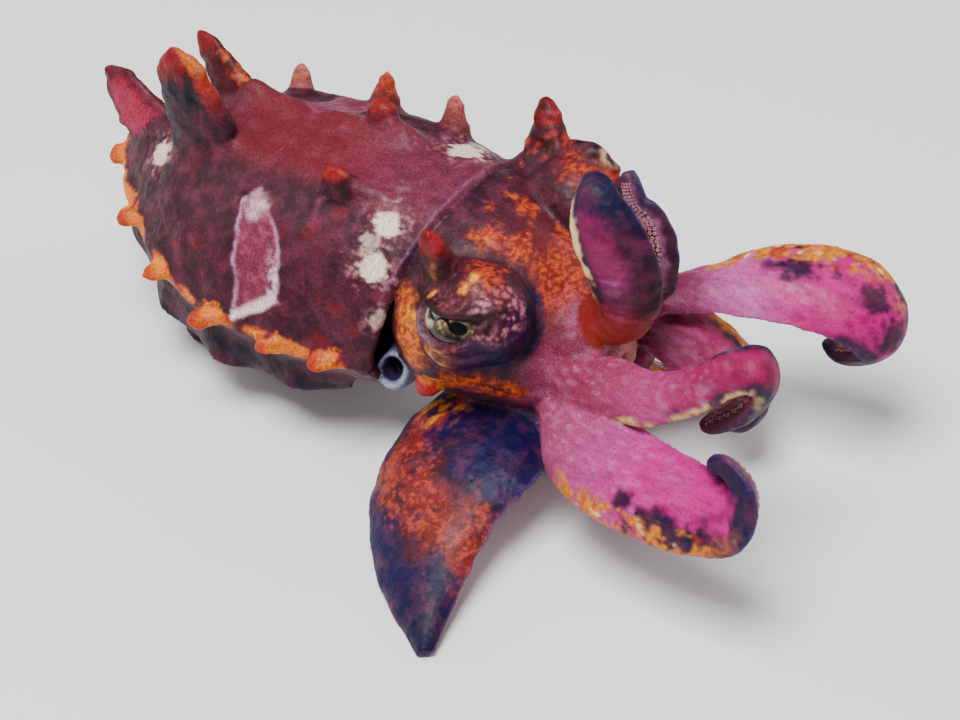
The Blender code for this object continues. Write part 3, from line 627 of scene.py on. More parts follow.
def keep_largest(mesh):
    """Drops loose scraps that the remesh can leave beside the body."""
    count = len(mesh.vertices)
    edges = np.empty(len(mesh.edges) * 2, int)
    mesh.edges.foreach_get("vertices", edges)
    first, second = edges.reshape(-1, 2).T
    label = np.arange(count)
    while True:
        lowest = np.minimum(label[first], label[second])
        fresh = label.copy()
        np.minimum.at(fresh, first, lowest)
        np.minimum.at(fresh, second, lowest)
        fresh = fresh[fresh]
        if np.array_equal(fresh, label):
            break
        label = fresh
    biggest = np.bincount(label).argmax()
    loose = np.flatnonzero(label != biggest)
    if len(loose):
        work = bmesh.new()
        work.from_mesh(mesh)
        work.verts.ensure_lookup_table()
        bmesh.ops.delete(work, geom=[work.verts[i] for i in loose], context="VERTS")
        work.to_mesh(mesh)
        work.free()


def nearest_marks(points, forms):
    """Kind, share along, side and lift of the closest point of the forms, for each point."""
    source, marks = np.vstack(forms.points), np.vstack(forms.marks)
    tree = kdtree.KDTree(len(source))
    for i, point in enumerate(source):
        tree.insert(point, i)
    tree.balance()
    return marks[[tree.find(point)[1] for point in points]]


def ease(low, high, value):
    """Rises softly from 0 at the low value to 1 at the high one."""
    t = np.clip((value - low) / (high - low), 0.0, 1.0)
    return t * t * (3 - 2 * t)


def fade(low, high, value):
    """Falls softly from 1 at the low value to 0 at the high one."""
    return 1.0 - ease(low, high, value)


def bell(value, width):
    return np.exp(-((value / width) ** 2))


LATTICE = np.random.RandomState(7).rand(64, 64, 64).astype(np.float32)


def noise(points, size, seed, octaves=3):
    """Soft random pattern from 0 to 1, with the given size of spots in millimetres."""
    total, weight = np.zeros(len(points), np.float32), 0.0
    for octave in range(octaves):
        shift = 17.3 * seed + 5.1 * octave
        place = (np.ascontiguousarray(points.T) * (2.1**octave / size) + shift).astype(np.float32)
        cells = np.floor(place).astype(np.int32)
        x_share, y_share, z_share = (place - cells) ** 2 * (3 - 2 * (place - cells))
        low, high = cells & 63, (cells + 1) & 63

        def row(y_cell, z_cell):
            first, last = LATTICE[low[0], y_cell, z_cell], LATTICE[high[0], y_cell, z_cell]
            return first * (1 - x_share) + last * x_share

        near = row(low[1], low[2]) * (1 - y_share) + row(high[1], low[2]) * y_share
        far = row(low[1], high[2]) * (1 - y_share) + row(high[1], high[2]) * y_share
        total += (near * (1 - z_share) + far * z_share) * 0.55**octave
        weight += 0.55**octave
    return total / weight


forms = all_forms()
skin = mesh_piece("skin", np.vstack(forms.points), forms.faces)
sheet = Sheet(remeshed(skin, VOXEL))
marks = nearest_marks(sheet.points, forms)
kind, along, side, lift = marks.T
kind = kind.round().astype(int)
is_arm = kind >= FIRST_ARM


def joint_weight(sheet, kind):
    """High where two forms grow into each other, apart from the edge of the mantle over the head."""
    first, second = kind[sheet.edges[:, 0]], kind[sheet.edges[:, 1]]
    collar = np.isin(first, (MANTLE, HEAD, FUNNEL)) & np.isin(second, (MANTLE, HEAD, FUNNEL))
    lips = (first == MOUTH) | (second == MOUTH)
    apart = (first >= FIRST_ARM) & (second >= FIRST_ARM)
    near_bulge = ((first == BULGE) | (second == BULGE)) & (sheet.points[sheet.edges[:, 0], 1] < 0)
    joint = (first != second) & ~collar & ~lips & ~apart & ~near_bulge
    weight = np.zeros(len(kind))
    weight[sheet.edges[joint].ravel()] = 1.0
    return np.clip(sheet.spread(weight, 26) * 7.0, 0.0, 1.0)


sheet.relax(3, np.ones(len(kind)))
sheet.relax(34, joint_weight(sheet, kind), shrink=0.8)
kind[kind == BULGE] = HEAD


def rough_skin(sheet):
    """Adds soft lumps all over, knobs on papillae and along the keels, and a fine roughness all over."""
    points, normals = sheet.points, sheet.normals()
    lump = (noise(points, 5.0, 1) - 0.5) * 0.7
    knob = (noise(points, 1.5, 2, 2) - 0.5) * 0.4 * np.isin(kind, (BACK, HORN)) * ease(0.25, 0.6, along)
    keel_knob = (noise(points, 1.8, 3, 2) - 0.35) * 1.1 * keelness(points)
    fine = (noise(points, 0.9, 4, 2) - 0.5) * 0.12
    calm = 1.0 - 0.75 * is_arm * ease(0.3, 0.6, along)
    sheet.points = points + normals * (lump * calm + knob + keel_knob + fine)[:, None]


def keelness(points):
    """One along the keel at either side of the mantle, fading to none a little above and below it."""
    half, keel = mantle_column(points[:, 0], 1), mantle_column(points[:, 0], 2)
    near = bell(points[:, 2] - keel, 1.5) * ease(0.72, 0.92, np.abs(points[:, 1]) / half)
    return near * np.isin(kind, (MANTLE, KEEL))


def open_lids(sheet, side):
    """Sinks the skin behind the eyeball inside the opening and raises the lids' edges round it."""
    reach, ahead, up, facing = on_eye(sheet.points, side)
    depth = opening_depth(ahead, up)
    near = (facing > 0.25) & (reach < EYE_RADIUS + 3.0)
    edge = bell(depth + 0.55, 0.42) * 0.38
    upper = (up > 1.2) & (depth < 0)
    crease = -bell(depth + 1.9, 0.4) * 0.3 * upper
    bag = -bell(depth + 1.7, 0.35) * 0.22 * (up < 0.8)
    raised = reach + edge + crease + bag
    sunk = EYE_RADIUS - 0.55
    inside = ease(-0.16, 0.16, depth)
    wanted = raised * (1 - inside) + sunk * inside
    away = sheet.points - eye_centre(side)
    scale = np.where(near, wanted / np.maximum(reach, 1e-6), 1.0)
    sheet.points = eye_centre(side) + away * scale[:, None]


rough_skin(sheet)
for eye_side in (-1, 1):
    open_lids(sheet, eye_side)
sheet.points = np.clip(sheet.points, CAD_LOW + 0.01, CAD_HIGH - 0.01)
sheet.points[:, 2] = np.maximum(sheet.points[:, 2], 0.0)
normals = sheet.normals()
skin.data.shade_smooth()


# Deepens the painted colours a little, because studio light lifts dark tones
DEPTH, HUE_DEPTH = 0.35, 1.25


def colour(red, green, blue):
    """A colour given in display numbers from 0 to 255, as linear light."""
    share = np.array((red, green, blue)) / 255.0
    light = np.where(share <= 0.04045, share / 12.92, ((share + 0.055) / 1.055) ** 2.4)
    return light**HUE_DEPTH * light.max() ** DEPTH


class Paint:
    """Colours and speckle strength laid over points, one mask at a time and only inside the limit."""

    def __init__(self, points, base):
        self.points = points
        self.colours = np.tile(colour(*base), (len(points), 1))
        self.speckle = np.zeros(len(points))
        self.limit = np.ones(len(points))

    def lay(self, mask, tint, speckle=None):
        mask = np.clip(mask, 0.0, 1.0) * self.limit
        self.colours += (colour(*tint) - self.colours) * mask[:, None]
        if speckle is not None:
            self.speckle += (speckle - self.speckle) * mask

    def spot(self, centre, radius, soft=0.35, ragged=0.5):
        """A round spot with ragged edges."""
        away = np.linalg.norm((self.points - centre) / np.array(radius), axis=1)
        away += (noise(self.points, 0.9, 9, 2) - 0.5) * ragged
        return fade(1.0 - soft, 1.0 + soft, away)

    def streak(self, start, end, width, soft=0.4, ragged=0.6):
        """A spot drawn out along a line."""
        start, end = np.array(start), np.array(end)
        run = end - start
        share = np.clip((self.points - start) @ run / (run @ run), 0.0, 1.0)
        away = np.linalg.norm(self.points - start - share[:, None] * run, axis=1) / width
        away += (noise(self.points, 0.8, 10, 2) - 0.5) * ragged
        return fade(1.0 - soft, 1.0 + soft, away)


points = sheet.points
paint = Paint(points, (80, 36, 58))
x, y, z = points.T
mottle = noise(points, 3.2, 21)
fine = noise(points, 0.9, 22)
grainy = noise(points, 0.45, 23, 2)
lay = paint.lay


def pattern(size, seed, octaves=3):
    """The soft random pattern on the points of the skin."""
    return noise(points, size, seed, octaves)


def only(mask):
    """Limits the painting to a part of the skin."""
    paint.limit = mask * 1.0


def of_arm(name):
    return kind == FIRST_ARM + ARM_NAMES.index(name)


def on_side(side):
    """A way to give places of the right side, or the same places of the left side."""
    return lambda x, y, z: (x, -y * side, z)


def within(centre, radius):
    """Distance of the points from a place, as a share of the radius or radii."""
    return np.linalg.norm((points - centre) / np.array(radius), axis=1)


def paint_mantle():
    only(np.isin(kind, (MANTLE, BACK, KEEL, FIN)))
    up = ease(-0.1, 0.7, normals[:, 2])
    lay(0.25 + 0.75 * ease(0.35, 0.75, mottle), (118, 46, 76))
    lay(ease(0.52, 0.7, pattern(1.6, 24)) * 0.6, (88, 28, 52))
    lay(ease(0.6, 0.8, pattern(2.4, 25)) * 0.7, (150, 40, 46))
    saddle = ease(15, 24, x) * fade(44, 54, x) * ease(-10.5, -7.0, y) * fade(4.5, 6.5, y)
    lay(saddle * up * 0.9, (150, 56, 70))
    lay(saddle * up * ease(0.5, 0.75, mottle) * 0.4, (136, 52, 74))
    front = ease(40, 50, x) * ease(-12, -6, y) * up
    lay(front * 0.65, (148, 66, 96))
    lay(front * ease(0.55, 0.75, fine) * 0.25, (180, 100, 124))
    far = ease(5.0, 7.5, y) * up
    lay(far * 0.6, (84, 38, 74))
    below = ease(0.0, 0.8, -normals[:, 2]) * (z < 17)
    lay(below * 0.75, (150, 104, 132), 0.15)
    lay(ease(0.1, 0.6, -normals[:, 2]) * ease(0.45, 0.6, mottle) * 0.35, (70, 32, 66))


# White spots of the mantle: middle, radius and strength
WHITE_SPOTS = [
    ((53.9, -9.9, 34.5), 1.7, 1.0), ((54.6, -14.2, 30.7), 1.6, 0.95), ((52.8, -12.2, 32.4), 1.3, 0.4),
    ((57.0, -16.6, 24.8), 1.2, 0.4), ((54.3, 6.6, 36.4), 2.2, 0.95), ((13.7, -8.4, 27.6), 1.7, 0.9),
]
# Pale lines behind the collar, as one bent line
COLLAR_LINE = [
    (56.4, -4.4, 37.6), (51.3, -6.0, 37.4), (45.7, -8.2, 36.4), (43.5, -11.0, 34.6), (44.0, -13.5, 33.0),
]


def paint_bands():
    """The pale band on each flank, the white spots and the thin lines of the mantle."""
    only(np.isin(kind, (MANTLE, BACK)))
    middle = np.interp(z, (21.5, 22.0, 29.0, 33.0, 36.0), (40.1, 39.9, 37.6, 34.0, 32.6))
    ragged = (pattern(1.3, 31) - 0.5) * 1.6
    rounded = np.where(y < 0, 1.0 - np.clip((z - 28.6) / 4.2, 0.0, 1.0) ** 3, ease(2.0, 4.5, y))
    inside = (3.8 + ragged * 0.8) * rounded - np.abs(x - middle)
    foot = z - 20.8 - 0.65 * np.clip(x - middle, -3.9, 3.9)
    inside = np.minimum(inside, foot + ragged * 0.4)
    band = ease(-0.1, 0.45, inside)
    lay(band, (148, 62, 92))
    lay(band * ease(0.45, 0.7, fine) * 0.8, (180, 90, 120))
    near_side = np.where(y < 0, 1.0, 0.25)
    rim = fade(0.25, 0.9, inside) * ease(0.3, 0.6, pattern(2.2, 33)) * near_side
    lay(band * rim, (214, 172, 204))
    lay(band * fade(1.1, 2.0, foot + ragged * 0.5), (238, 218, 216))
    corner = ease(1.2, 2.8, x - middle) * fade(26.0, 29.5, z)
    lay(band * corner * ease(0.4, 0.6, grainy), (230, 200, 216))
    lay(paint.spot((35.2, -13.4, 31.4), (1.5, 1.8, 1.5), 0.5, 1.0), (226, 184, 194))
    for centre, radius, strength in WHITE_SPOTS:
        halo = paint.spot(centre, radius * 1.9, 0.5, 1.4)
        lay(halo * strength * 0.75 * ease(0.52, 0.62, grainy), (206, 150, 156), 0.2)
        core = paint.spot(centre, radius * 1.05, 0.5, 1.1)
        lay(ease(0.35, 0.6, core + (grainy - 0.5) * 0.9) * strength, (240, 222, 206))
        if centre[1] < 0 and centre[0] > 50:
            mirror = on_side(1)(*centre)
            lay(paint.spot(mirror, radius * 0.8, 0.3, 0.9) * strength * 0.7, (236, 214, 216))
    for start, end in zip(COLLAR_LINE, COLLAR_LINE[1:]):
        lay(paint.streak(start, end, 0.5, 0.7, 0.6) * 0.45, (160, 90, 120))
    keel = mantle_column(x, 2)
    rise = np.clip((z - keel) / np.where(z > keel, 19.5, 8.8), -1.0, 1.0)
    edge = MANTLE_LENGTH + COLLAR_FORWARD * rise**2 * np.where(rise > 0, 1.0, -0.6)
    line = bell(x - edge - 0.1, 0.13) * ease(24, 30, z)
    lay(line * 0.4, (184, 140, 184))


# Orange patches along the keels: place, breadth and strength
KEEL_PATCHES = [
    (3, 4, 1.3), (9, 3, 1.1), (14, 2.5, 1.2), (22, 3, 1.2), (28, 2.5, 1.0), (34, 2.5, 1.2), (41, 2.5, 1.0),
    (46, 3, 1.2), (51.5, 2.5, 0.8),
]


def paint_keel():
    only(np.isin(kind, (MANTLE, KEEL)))
    patches = np.zeros(len(x))
    for centre, spread, strength in KEEL_PATCHES:
        patches = np.maximum(patches, strength * bell(x - centre, spread))
    near = np.maximum(keelness(points), (kind == KEEL) * 1.0)
    amount = near * patches + (pattern(1.7, 41) - 0.5) * 0.8 + (grainy - 0.5) * 0.3
    orange = ease(0.38, 0.55, amount)
    lay(orange, (196, 70, 0))
    lay(orange * ease(0.55, 0.8, amount + 0.3 * (x < 18) + (grainy - 0.5) * 0.8), (234, 138, 0))
    lay(orange * ease(0.64, 0.72, fine) * 0.4, (250, 200, 30))
    lay(orange * ease(0.6, 0.72, pattern(0.8, 42)) * 0.5, (150, 44, 14))
    lay((kind == KEEL) * ease(0.62, 0.9, along + (fine - 0.5) * 0.4) * 0.85, (196, 60, 10))


def paint_papillae():
    tip = ease(0.72, 0.9, along + (fine - 0.5) * 0.2)
    front = ease(0.55, 0.85, side + (fine - 0.5) * 0.5)
    only(kind == BACK)
    near_tail = (within((4.0, -2.6, 28.2), 1.0) < 9.5) & (x < 12.5)
    tall = (x > 13.5) & (x < 30) & (y < -2.5)
    second = (x > 9) & (x < 28) & (y > -1.5) & (y < 8)
    grow = ease(0.12, 0.4, along)
    lay(near_tail * grow, (186, 54, 92))
    lay(near_tail * ease(0.45, 0.9, np.abs(side)) * grow * 0.8, (104, 38, 62))
    lay(near_tail * tip * 0.9, (120, 26, 44))
    lay(tall * grow, (50, 22, 64))
    lay(tall * ease(0.5, 0.75, mottle) * grow * 0.6, (110, 34, 44))
    lay(second * grow, (112, 34, 46))
    lay(second * grow * ease(0.5, 0.7, fine) * front, (206, 96, 26))
    lay(tall * front * ease(0.4, 0.8, along) * 0.8, (196, 60, 24))
    lay((tall | second) * tip, (158, 26, 24))
    lay(tall * tip * front * 0.7, (220, 130, 30))
    others = ~(near_tail | tall | second)
    low_bump = (np.abs(x - 34.4) < 4) & (y < -9) | (np.abs(x - 52.4) < 3) & (y < -2) & (y > -7.5)
    thin = others & ~low_bump
    lay(thin * grow * 0.7, (132, 42, 56))
    lay(thin * (y < -7) * grow * ease(0.2, 0.7, np.abs(lift)) * 0.8, (60, 22, 44))
    lay(thin * tip, (170, 36, 24))
    far = others & (y > 9)
    rising = ease(0.35, 0.8, along + (fine - 0.5) * 0.3)
    lay(far * rising * 0.75, (204, 124, 112))
    lay(far * (np.abs(x - 36.6) < 4) * rising * 0.8, (196, 70, 34))
    lay(far * tip * ease(0.5, 0.7, fine), (226, 160, 96))


def paint_fins():
    only(kind == FIN)
    lay(0.9, (62, 30, 68), 0.1)
    lay(ease(0.55, 0.7, mottle) * 0.6, (128, 60, 96))


# Rust coloured patches on top of the head: middle and radius
HEAD_PATCHES = [
    ((66.3, -5.6, 35.2), 2.6), ((69.6, -4.0, 34.4), 2.2), ((66.8, -10.2, 35.4), 1.8),
    ((67.2, 1.5, 35.6), 2.2), ((68.4, 5.0, 36.4), 2.4), ((68.0, 8.4, 38.6), 2.6), ((71.4, 9.6, 38.4), 1.8),
    ((63.6, -2.0, 36.4), 1.3), ((72.6, 2.6, 33.0), 2.6), ((70.4, -7.0, 33.4), 1.8),
]


def paint_head():
    only(np.isin(kind, (HEAD, LID, HORN, FUNNEL, WEB)))
    lay(1.0, (104, 44, 70), 0.1)
    lay(ease(0.42, 0.62, mottle) * 0.6, (86, 38, 76))
    lay(ease(62, 74, x) * ease(22, 29, z) * 0.75, (146, 50, 54), 0.25)
    likely = np.zeros(len(x))
    for centre, radius in HEAD_PATCHES:
        likely = np.maximum(likely, bell(within(centre, 1.0), radius))
    grains = pattern(0.32, 53, 1)
    clouds = pattern(1.5, 54) * 0.35 + pattern(2.6, 51) * 0.35
    rust = ease(0.5, 0.7, clouds + likely * 0.38 + (grains - 0.5) * 0.25) * ease(57.5, 60, x)
    lay(rust * 0.85, (172, 54, 30))
    lay(rust * ease(0.5, 0.62, grains) * 0.9, (222, 104, 34))
    lay(rust * ease(0.62, 0.7, fine) * 0.6, (236, 136, 60))
    front = bell(within((76.0, -2.0, 31.0), (5.0, 7.5, 6.0)), 1.0)
    lay(ease(0.3, 0.75, front + (fine - 0.5) * 0.7), (152, 50, 36), 0.3)
    lay(ease(0.35, 0.8, front + (mottle - 0.5)) * ease(0.48, 0.6, grains), (212, 92, 36), 0.3)
    cheek = ease(0.0, 5.0, x - 73.0 - 0.32 * (z - 22.0) + (mottle - 0.5) * 3)
    lay(cheek * fade(0.5, 0.9, front) * 0.95, (152, 56, 94), 1.3)
    lay(cheek * ease(0.42, 0.62, pattern(2.2, 52)) * 0.45, (194, 106, 144), 1.6)
    for head_side in (-1, 1):
        at = on_side(head_side)
        flange = paint.streak(at(59.4, -14.4, 28.6), at(62.3, -16.6, 22.0), 1.9, 0.5, 1.1)
        lay(flange, (176, 70, 24))
        lay(flange * ease(0.45, 0.58, grains), (234, 140, 20))
        under = paint.streak(at(67.6, -15.4, 19.6), at(75.0, -12.4, 18.8), 1.5, 0.6, 1.3)
        lay(under * ease(0.35, 0.6, clouds * 1.4), (166, 60, 34))
        lay(under * ease(0.46, 0.6, grains), (224, 112, 24))
        lay(paint.streak(at(66.5, -12.0, 38.2), at(68.5, -9.0, 36.6), 1.1, 0.5, 1.2), (214, 92, 40))
    below = ease(0.2, 0.9, -normals[:, 2]) * (x < 78)
    lay(below * 0.5, (96, 60, 104), 0.3)
    # Painted shadow: a dark band on the head just behind the mantle's rim, where the collar overhangs it
    lay((kind == HEAD) * fade(57.0, 60.0, x - 0.15 * (z - 20)) * 0.5, (66, 30, 60))


# Yellow stripes above the right eye: from and to
YELLOW_STRIPES = [((64.9, -15.7, 32.0), (64.6, -15.3, 37.0)), ((69.3, -15.7, 34.9), (69.9, -12.6, 36.4))]


def paint_eye_bulges():
    only(np.isin(kind, (HEAD, LID, HORN)))
    grains = pattern(0.34, 55, 1)
    for eye_side in (-1, 1):
        at = on_side(eye_side)
        away = (points - bulge_centre(eye_side)) / EYE_BULGE_RADII
        bulge = fade(1.08, 1.26, np.linalg.norm(away, axis=1)) * (y * eye_side > 3)
        _, ahead, up, facing = on_eye(points, eye_side)
        depth = opening_depth(ahead, up)
        lay(bulge * 0.95, (96, 34, 62), 0.7)
        lids = fade(1.6, 3.2, -depth) * (facing > 0.1)
        lay(lids * 0.9, (92, 24, 48), 0.7)
        lay(lids * ease(0.6, 0.72, grains) * 0.45, (190, 100, 116), 0.5)
        lean = 0.75 * away[:, 0] - 0.6 * away[:, 2]
        shade = ease(0.05, 0.4, lean + (fine - 0.5) * 0.3) * ease(-0.6, 0.4, ahead + 0.3 * up)
        lay(bulge * shade, (38, 16, 92), 0.2)
        glitter = paint.spot(at(74.2, -14.9, 33.0), (3.2, 3.6, 3.0), 0.4, 0.8)
        lay(bulge * glitter * 0.5, (122, 50, 84), 1.0)
        lay(bulge * glitter * ease(0.56, 0.68, grains) * 0.85, (224, 152, 164), 1.0)
        top = ease(0.82, 1.02, away[:, 2] + 0.15 * away[:, 0] + (fine - 0.5) * 0.4)
        lay(bulge * top * 0.7, (136, 44, 44), 0.2)
        lay(bulge * top * ease(0.48, 0.62, grains) * 0.9, (214, 96, 36), 0.2)
        lay(bell(depth + 0.3, 0.4) * (up > 0.9) * (facing > 0.1), (50, 18, 36))
        pale = bell(depth + 0.3, 0.1) * (up < 0.6) * (facing > 0.1)
        lay(pale * ease(0.8, -1.2, ahead) * 0.5, (196, 172, 196))
        below = ease(0.5, 1.1, -depth) * fade(2.6, 4.0, -depth) * (up < -0.3) * (facing > 0)
        amber = below * ease(1.2, -0.6, ahead + (mottle - 0.5) * 2) * ease(0.3, 0.5, grainy)
        lay(amber * 0.9, (176, 92, 22), 0.0)
        lay(amber * ease(0.48, 0.6, grains), (232, 170, 46))
        for start, end in YELLOW_STRIPES:
            stripe = paint.streak(at(*start), at(*end), 0.46, 0.5, 1.8)
            lay(stripe, (214, 100, 14), 0.0)
            lay(stripe * ease(0.46, 0.58, grains), (250, 190, 34))


def paint_horns():
    only(kind == HORN)
    grow = ease(0.15, 0.4, along)
    far_brow = (y > 0) & (x > 64.0 + 0.55 * (z - 34.0))
    high = (z > 26) * ~far_brow
    lay(high * grow * 0.75, (92, 26, 40), 0.1)
    lay(high * grow * ease(0.5, 0.66, fine) * (y > 0) * 0.9, (196, 70, 36))
    lay(high * ease(0.62, 0.8, along) * (1 - 0.5 * (y > 0)), (168, 26, 22))
    lay(high * ease(0.8, 0.9, along) * fade(0.2, 0.8, np.abs(side)) * 0.7, (70, 16, 26))
    low = z <= 26
    lay(low * grow, (196, 92, 16))
    lay(low * grow * ease(0.45, 0.6, grainy), (238, 160, 30))
    lay(low * ease(0.62, 0.8, along + (fine - 0.5) * 0.3), (190, 36, 16))
    brow = (x > 62.0) * (z > 33) * (y > 0) * ~high
    lay(brow * ease(0.1, 0.3, along) * 0.7, (120, 40, 52), 0.1)
    rust = ease(0.45, 0.6, pattern(1.6, 81)) * ease(0.2, 0.4, along) * fade(0.7, 0.85, along)
    lay(brow * rust * 0.9, (202, 78, 34))
    crest = brow * ease(0.82, 0.93, along)
    lay(crest * 0.85, (50, 22, 50))
    lay(crest * ease(0.35, 0.75, side) * ease(0.45, 0.6, fine) * 0.8, (226, 186, 150))


def paint_funnel():
    only(kind == FUNNEL)
    end = ease(0.45, 0.75, along)
    lay(1.0, (112, 96, 130), 0.4)
    lay(end, (168, 176, 206), 0.2)
    lay(end * ease(0.45, 0.7, mottle) * 0.5, (132, 130, 178))
    # Painted shade: the inner walls of the funnel's mouth, where it turns back into the tube, are dark navy
    lay(ease(0.86, 0.93, along), (50, 56, 108))
    only(kind == MOUTH)
    lay(1.0, (196, 128, 128), 0.3)


YELLOW, CREAM = (236, 152, 0), (238, 206, 140)
# Each pink arm: side of its pale margin, colours of root, middle and end, start of the dark end, colour of
# the margin and how far out it starts
PINK_ARMS = [
    ("arm_1_right", -1.0, (158, 52, 34), (150, 36, 58), (160, 14, 110), 0.84, CREAM, 0.8),
    ("arm_1_left", 1.0, (166, 52, 40), (132, 40, 70), (138, 50, 104), 0.78, CREAM, 0.8),
    ("arm_2_right", 1.0, (168, 66, 104), (190, 72, 138), (178, 6, 106), 0.63, CREAM, 0.8),
    ("arm_2_left", -1.0, (150, 58, 90), (208, 112, 176), (208, 14, 142), 0.78, YELLOW, 0.3),
    ("arm_3_right", 1.0, (182, 86, 128), (196, 78, 154), (206, 10, 146), 0.75, YELLOW, 0.55),
    ("arm_3_left", -1.0, (134, 54, 60), (178, 78, 122), (186, 60, 118), 0.74, YELLOW, 0.6),
]
# Dark patches on the outer faces: middle and radius
ARM_PATCHES = {
    "arm_2_left": [((98.1, 17.4, 29.8), 2.3), ((108.0, 19.5, 27.9), 2.0), ((111.1, 19.0, 23.5), 2.4)],
    "arm_3_right": [((101.0, -21.0, 18.0), 2.1), ((95.5, -20.0, 18.0), 1.3), ((107.2, -21.2, 18.7), 2.4)],
}


def paint_arm(name, yellow, base, mid, hot, dark, gold, wide):
    only(of_arm(name))
    s = along + (mottle - 0.5) * 0.1
    streaks = noise(points * np.array((0.3, 1.0, 1.0)), 0.9, 61)
    fibres = noise(points * np.array((0.25, 1.0, 1.0)), 0.5, 66, 2)
    lay(1.0, base, 1.9)
    lay(ease(0.14, 0.4, s), mid, 1.0)
    lay(ease(0.37, 0.56, s + 0.22 * (streaks - 0.5) + 0.05 * (1 - np.abs(side))), hot, 0.2)
    deep = tuple(0.62 * tone for tone in hot)
    lay(ease(dark - 0.3, dark, s) * ease(0.45, 0.7, streaks) * 0.6, deep)
    lay(ease(0.2, 0.4, s) * fade(0.5, 0.7, s) * ease(0.55, 0.8, streaks) * 0.25, (232, 150, 212))
    lay(ease(0.56, 0.72, fibres) * fade(0.5, 0.7, s) * 0.14, (232, 176, 216))
    lay(ease(0.56, 0.72, 1 - fibres) * 0.25, (140, 36, 96))
    edge = np.abs(side) + (pattern(2.6, 62) - 0.5) * 0.5
    margin_side = yellow * side
    blotch = ease(0.44, 0.54, pattern(3.0, 63) + 0.22 * (margin_side - wide) + (grainy - 0.5) * 0.1)
    blotch *= ease(wide - 0.35, wide - 0.05, margin_side) * ease(0.36, 0.46, s)
    lay(blotch, (52, 14, 84), 0.1)
    for centre, radius in ARM_PATCHES.get(name, ()):
        lay(paint.spot(centre, radius, 0.45, 1.5) * 0.95, (50, 14, 84), 0.1)
    ending = s + 0.22 * ease(0.45, 1.0, edge) - 0.1
    lay(ease(dark - 0.07, dark + 0.04, ending), (42, 16, 94), 0.2)
    lay(ease(dark, dark + 0.1, s) * ease(0.5, 0.75, mottle) * 0.5, (86, 34, 86))
    margin = ease(wide, wide + 0.16, margin_side + (pattern(1.7, 64) - 0.5) * 0.6)
    patchy = ease(0.44, 0.54, pattern(2.3, 65) + 0.05 + (grainy - 0.5) * 0.2)
    reach = ease(0.22, 0.32, s) * fade(0.66, 0.8, s) * (lift > -0.4)
    lay(margin * patchy * reach, tuple(0.84 * tone for tone in gold), 0.0)
    lay(margin * patchy * reach * ease(0.46, 0.58, grainy), gold)
    if gold == YELLOW:
        lay(margin * reach * ease(0.56, 0.7, pattern(1.1, 77)) * 0.8, (190, 60, 8))
    lay(margin * reach * ease(0.68, 0.78, fine), (246, 220, 176))


def paint_first_arms():
    """The raised first arms: cream margin, dark top and a warm red fold at the root."""
    only(is_arm)
    right = of_arm("arm_1_right") * (lift > -0.5)
    left = of_arm("arm_1_left") * 1.0
    s = along + (pattern(2.0, 67) - 0.5) * 0.1
    flank = side + (pattern(1.6, 68) - 0.5) * 0.5
    lay(right * ease(0.36, 0.46, s) * ease(0.05, 0.4, flank) * 0.9, (48, 12, 72), 0.1)
    lay(right * ease(0.40, 0.48, s) * fade(0.5, 0.58, s) * 0.6, (60, 14, 40), 0.1)
    lay(right * ease(0.78, 0.86, s + 0.1 * flank) * 0.95, (38, 14, 90), 0.1)
    cream = ease(0.74, 0.86, -flank) * ease(0.52, 0.6, s) * fade(0.88, 0.94, s)
    lay(right * cream * ease(0.3, 0.42, pattern(2.2, 69)), (240, 216, 160), 0.0)
    lay(right * ease(0.1, 0.2, s) * fade(0.34, 0.46, s) * 0.85, (168, 56, 26), 0.2)
    inner = left * ease(0.1, 0.4, -lift)
    lay(inner * ease(0.2, 0.3, s) * 0.9, (150, 56, 96), 0.2)
    lay(inner * bell(flank + 0.45, 0.12) * ease(0.3, 0.4, s) * 0.6, (206, 160, 200))
    lay(left * ease(0.55, 0.75, np.abs(flank)) * ease(0.25, 0.35, s) * 0.85, (54, 18, 76), 0.1)
    lay(left * ease(0.76, 0.84, along) * 0.7, (70, 62, 104), 0.1)


def paint_leaf_arm(name):
    only(of_arm(name))
    s = along + (mottle - 0.5) * 0.1
    lay(1.0, (40, 18, 104), 0.2)
    lay(ease(0.45, 0.7, pattern(4.0, 70)) * 0.6, (66, 26, 76))
    warm = bell(s - 0.57 + 0.13 * side, 0.15) * fade(0.75, 0.95, side)
    clouds = pattern(3.4, 71)
    grains = pattern(0.36, 76, 1)
    lay(ease(0.35, 0.75, warm + (clouds - 0.5) * 1.3) * 0.85, (104, 26, 44))
    lay(ease(0.6, 0.95, warm + (pattern(1.9, 72) - 0.5) * 1.6) * 0.8, (156, 46, 36))
    lay(ease(0.45, 0.85, warm + (mottle - 0.5)) * ease(0.55, 0.68, grains) * 0.7, (214, 92, 50))
    base = ease(0.14, 0.2, s) * fade(0.32, 0.4, s) * ease(0.1, 0.6, side)
    base *= fade(0.8, 0.95, side)
    lay(base * ease(0.42, 0.55, pattern(2.2, 73)), (190, 76, 26))
    lay(base * ease(0.52, 0.66, pattern(1.2, 74)), (234, 156, 48))
    left = bell(s - 0.5, 0.05) * ease(0.5, 0.75, side) * fade(0.9, 0.97, side)
    lay(left * ease(0.35, 0.6, fine), (196, 92, 30))
    lay(ease(0.76, 0.92, s) * 0.8, (34, 20, 90), 0.3)
    lay(ease(0.93, 0.99, np.abs(side)) * ease(0.4, 0.6, fine) * 0.5, (150, 120, 132))


def paint_arm_details():
    only(is_arm)
    rim = ease(0.965, 0.99, np.abs(side)) * ease(0.15, 0.3, along)
    lay(rim * 0.3, (150, 116, 190))
    inner = ease(0.25, 0.6, -lift) * ~of_arm("arm_1_left")
    lay(inner * 0.8, (196, 132, 150), 0.3)
    lay(inner * ease(0.55, 0.75, mottle) * 0.5, (176, 96, 126), 0.3)
    tips = inner * ease(0.72, 0.85, along)
    lay(tips * 0.75, (96, 70, 104), 0.2)


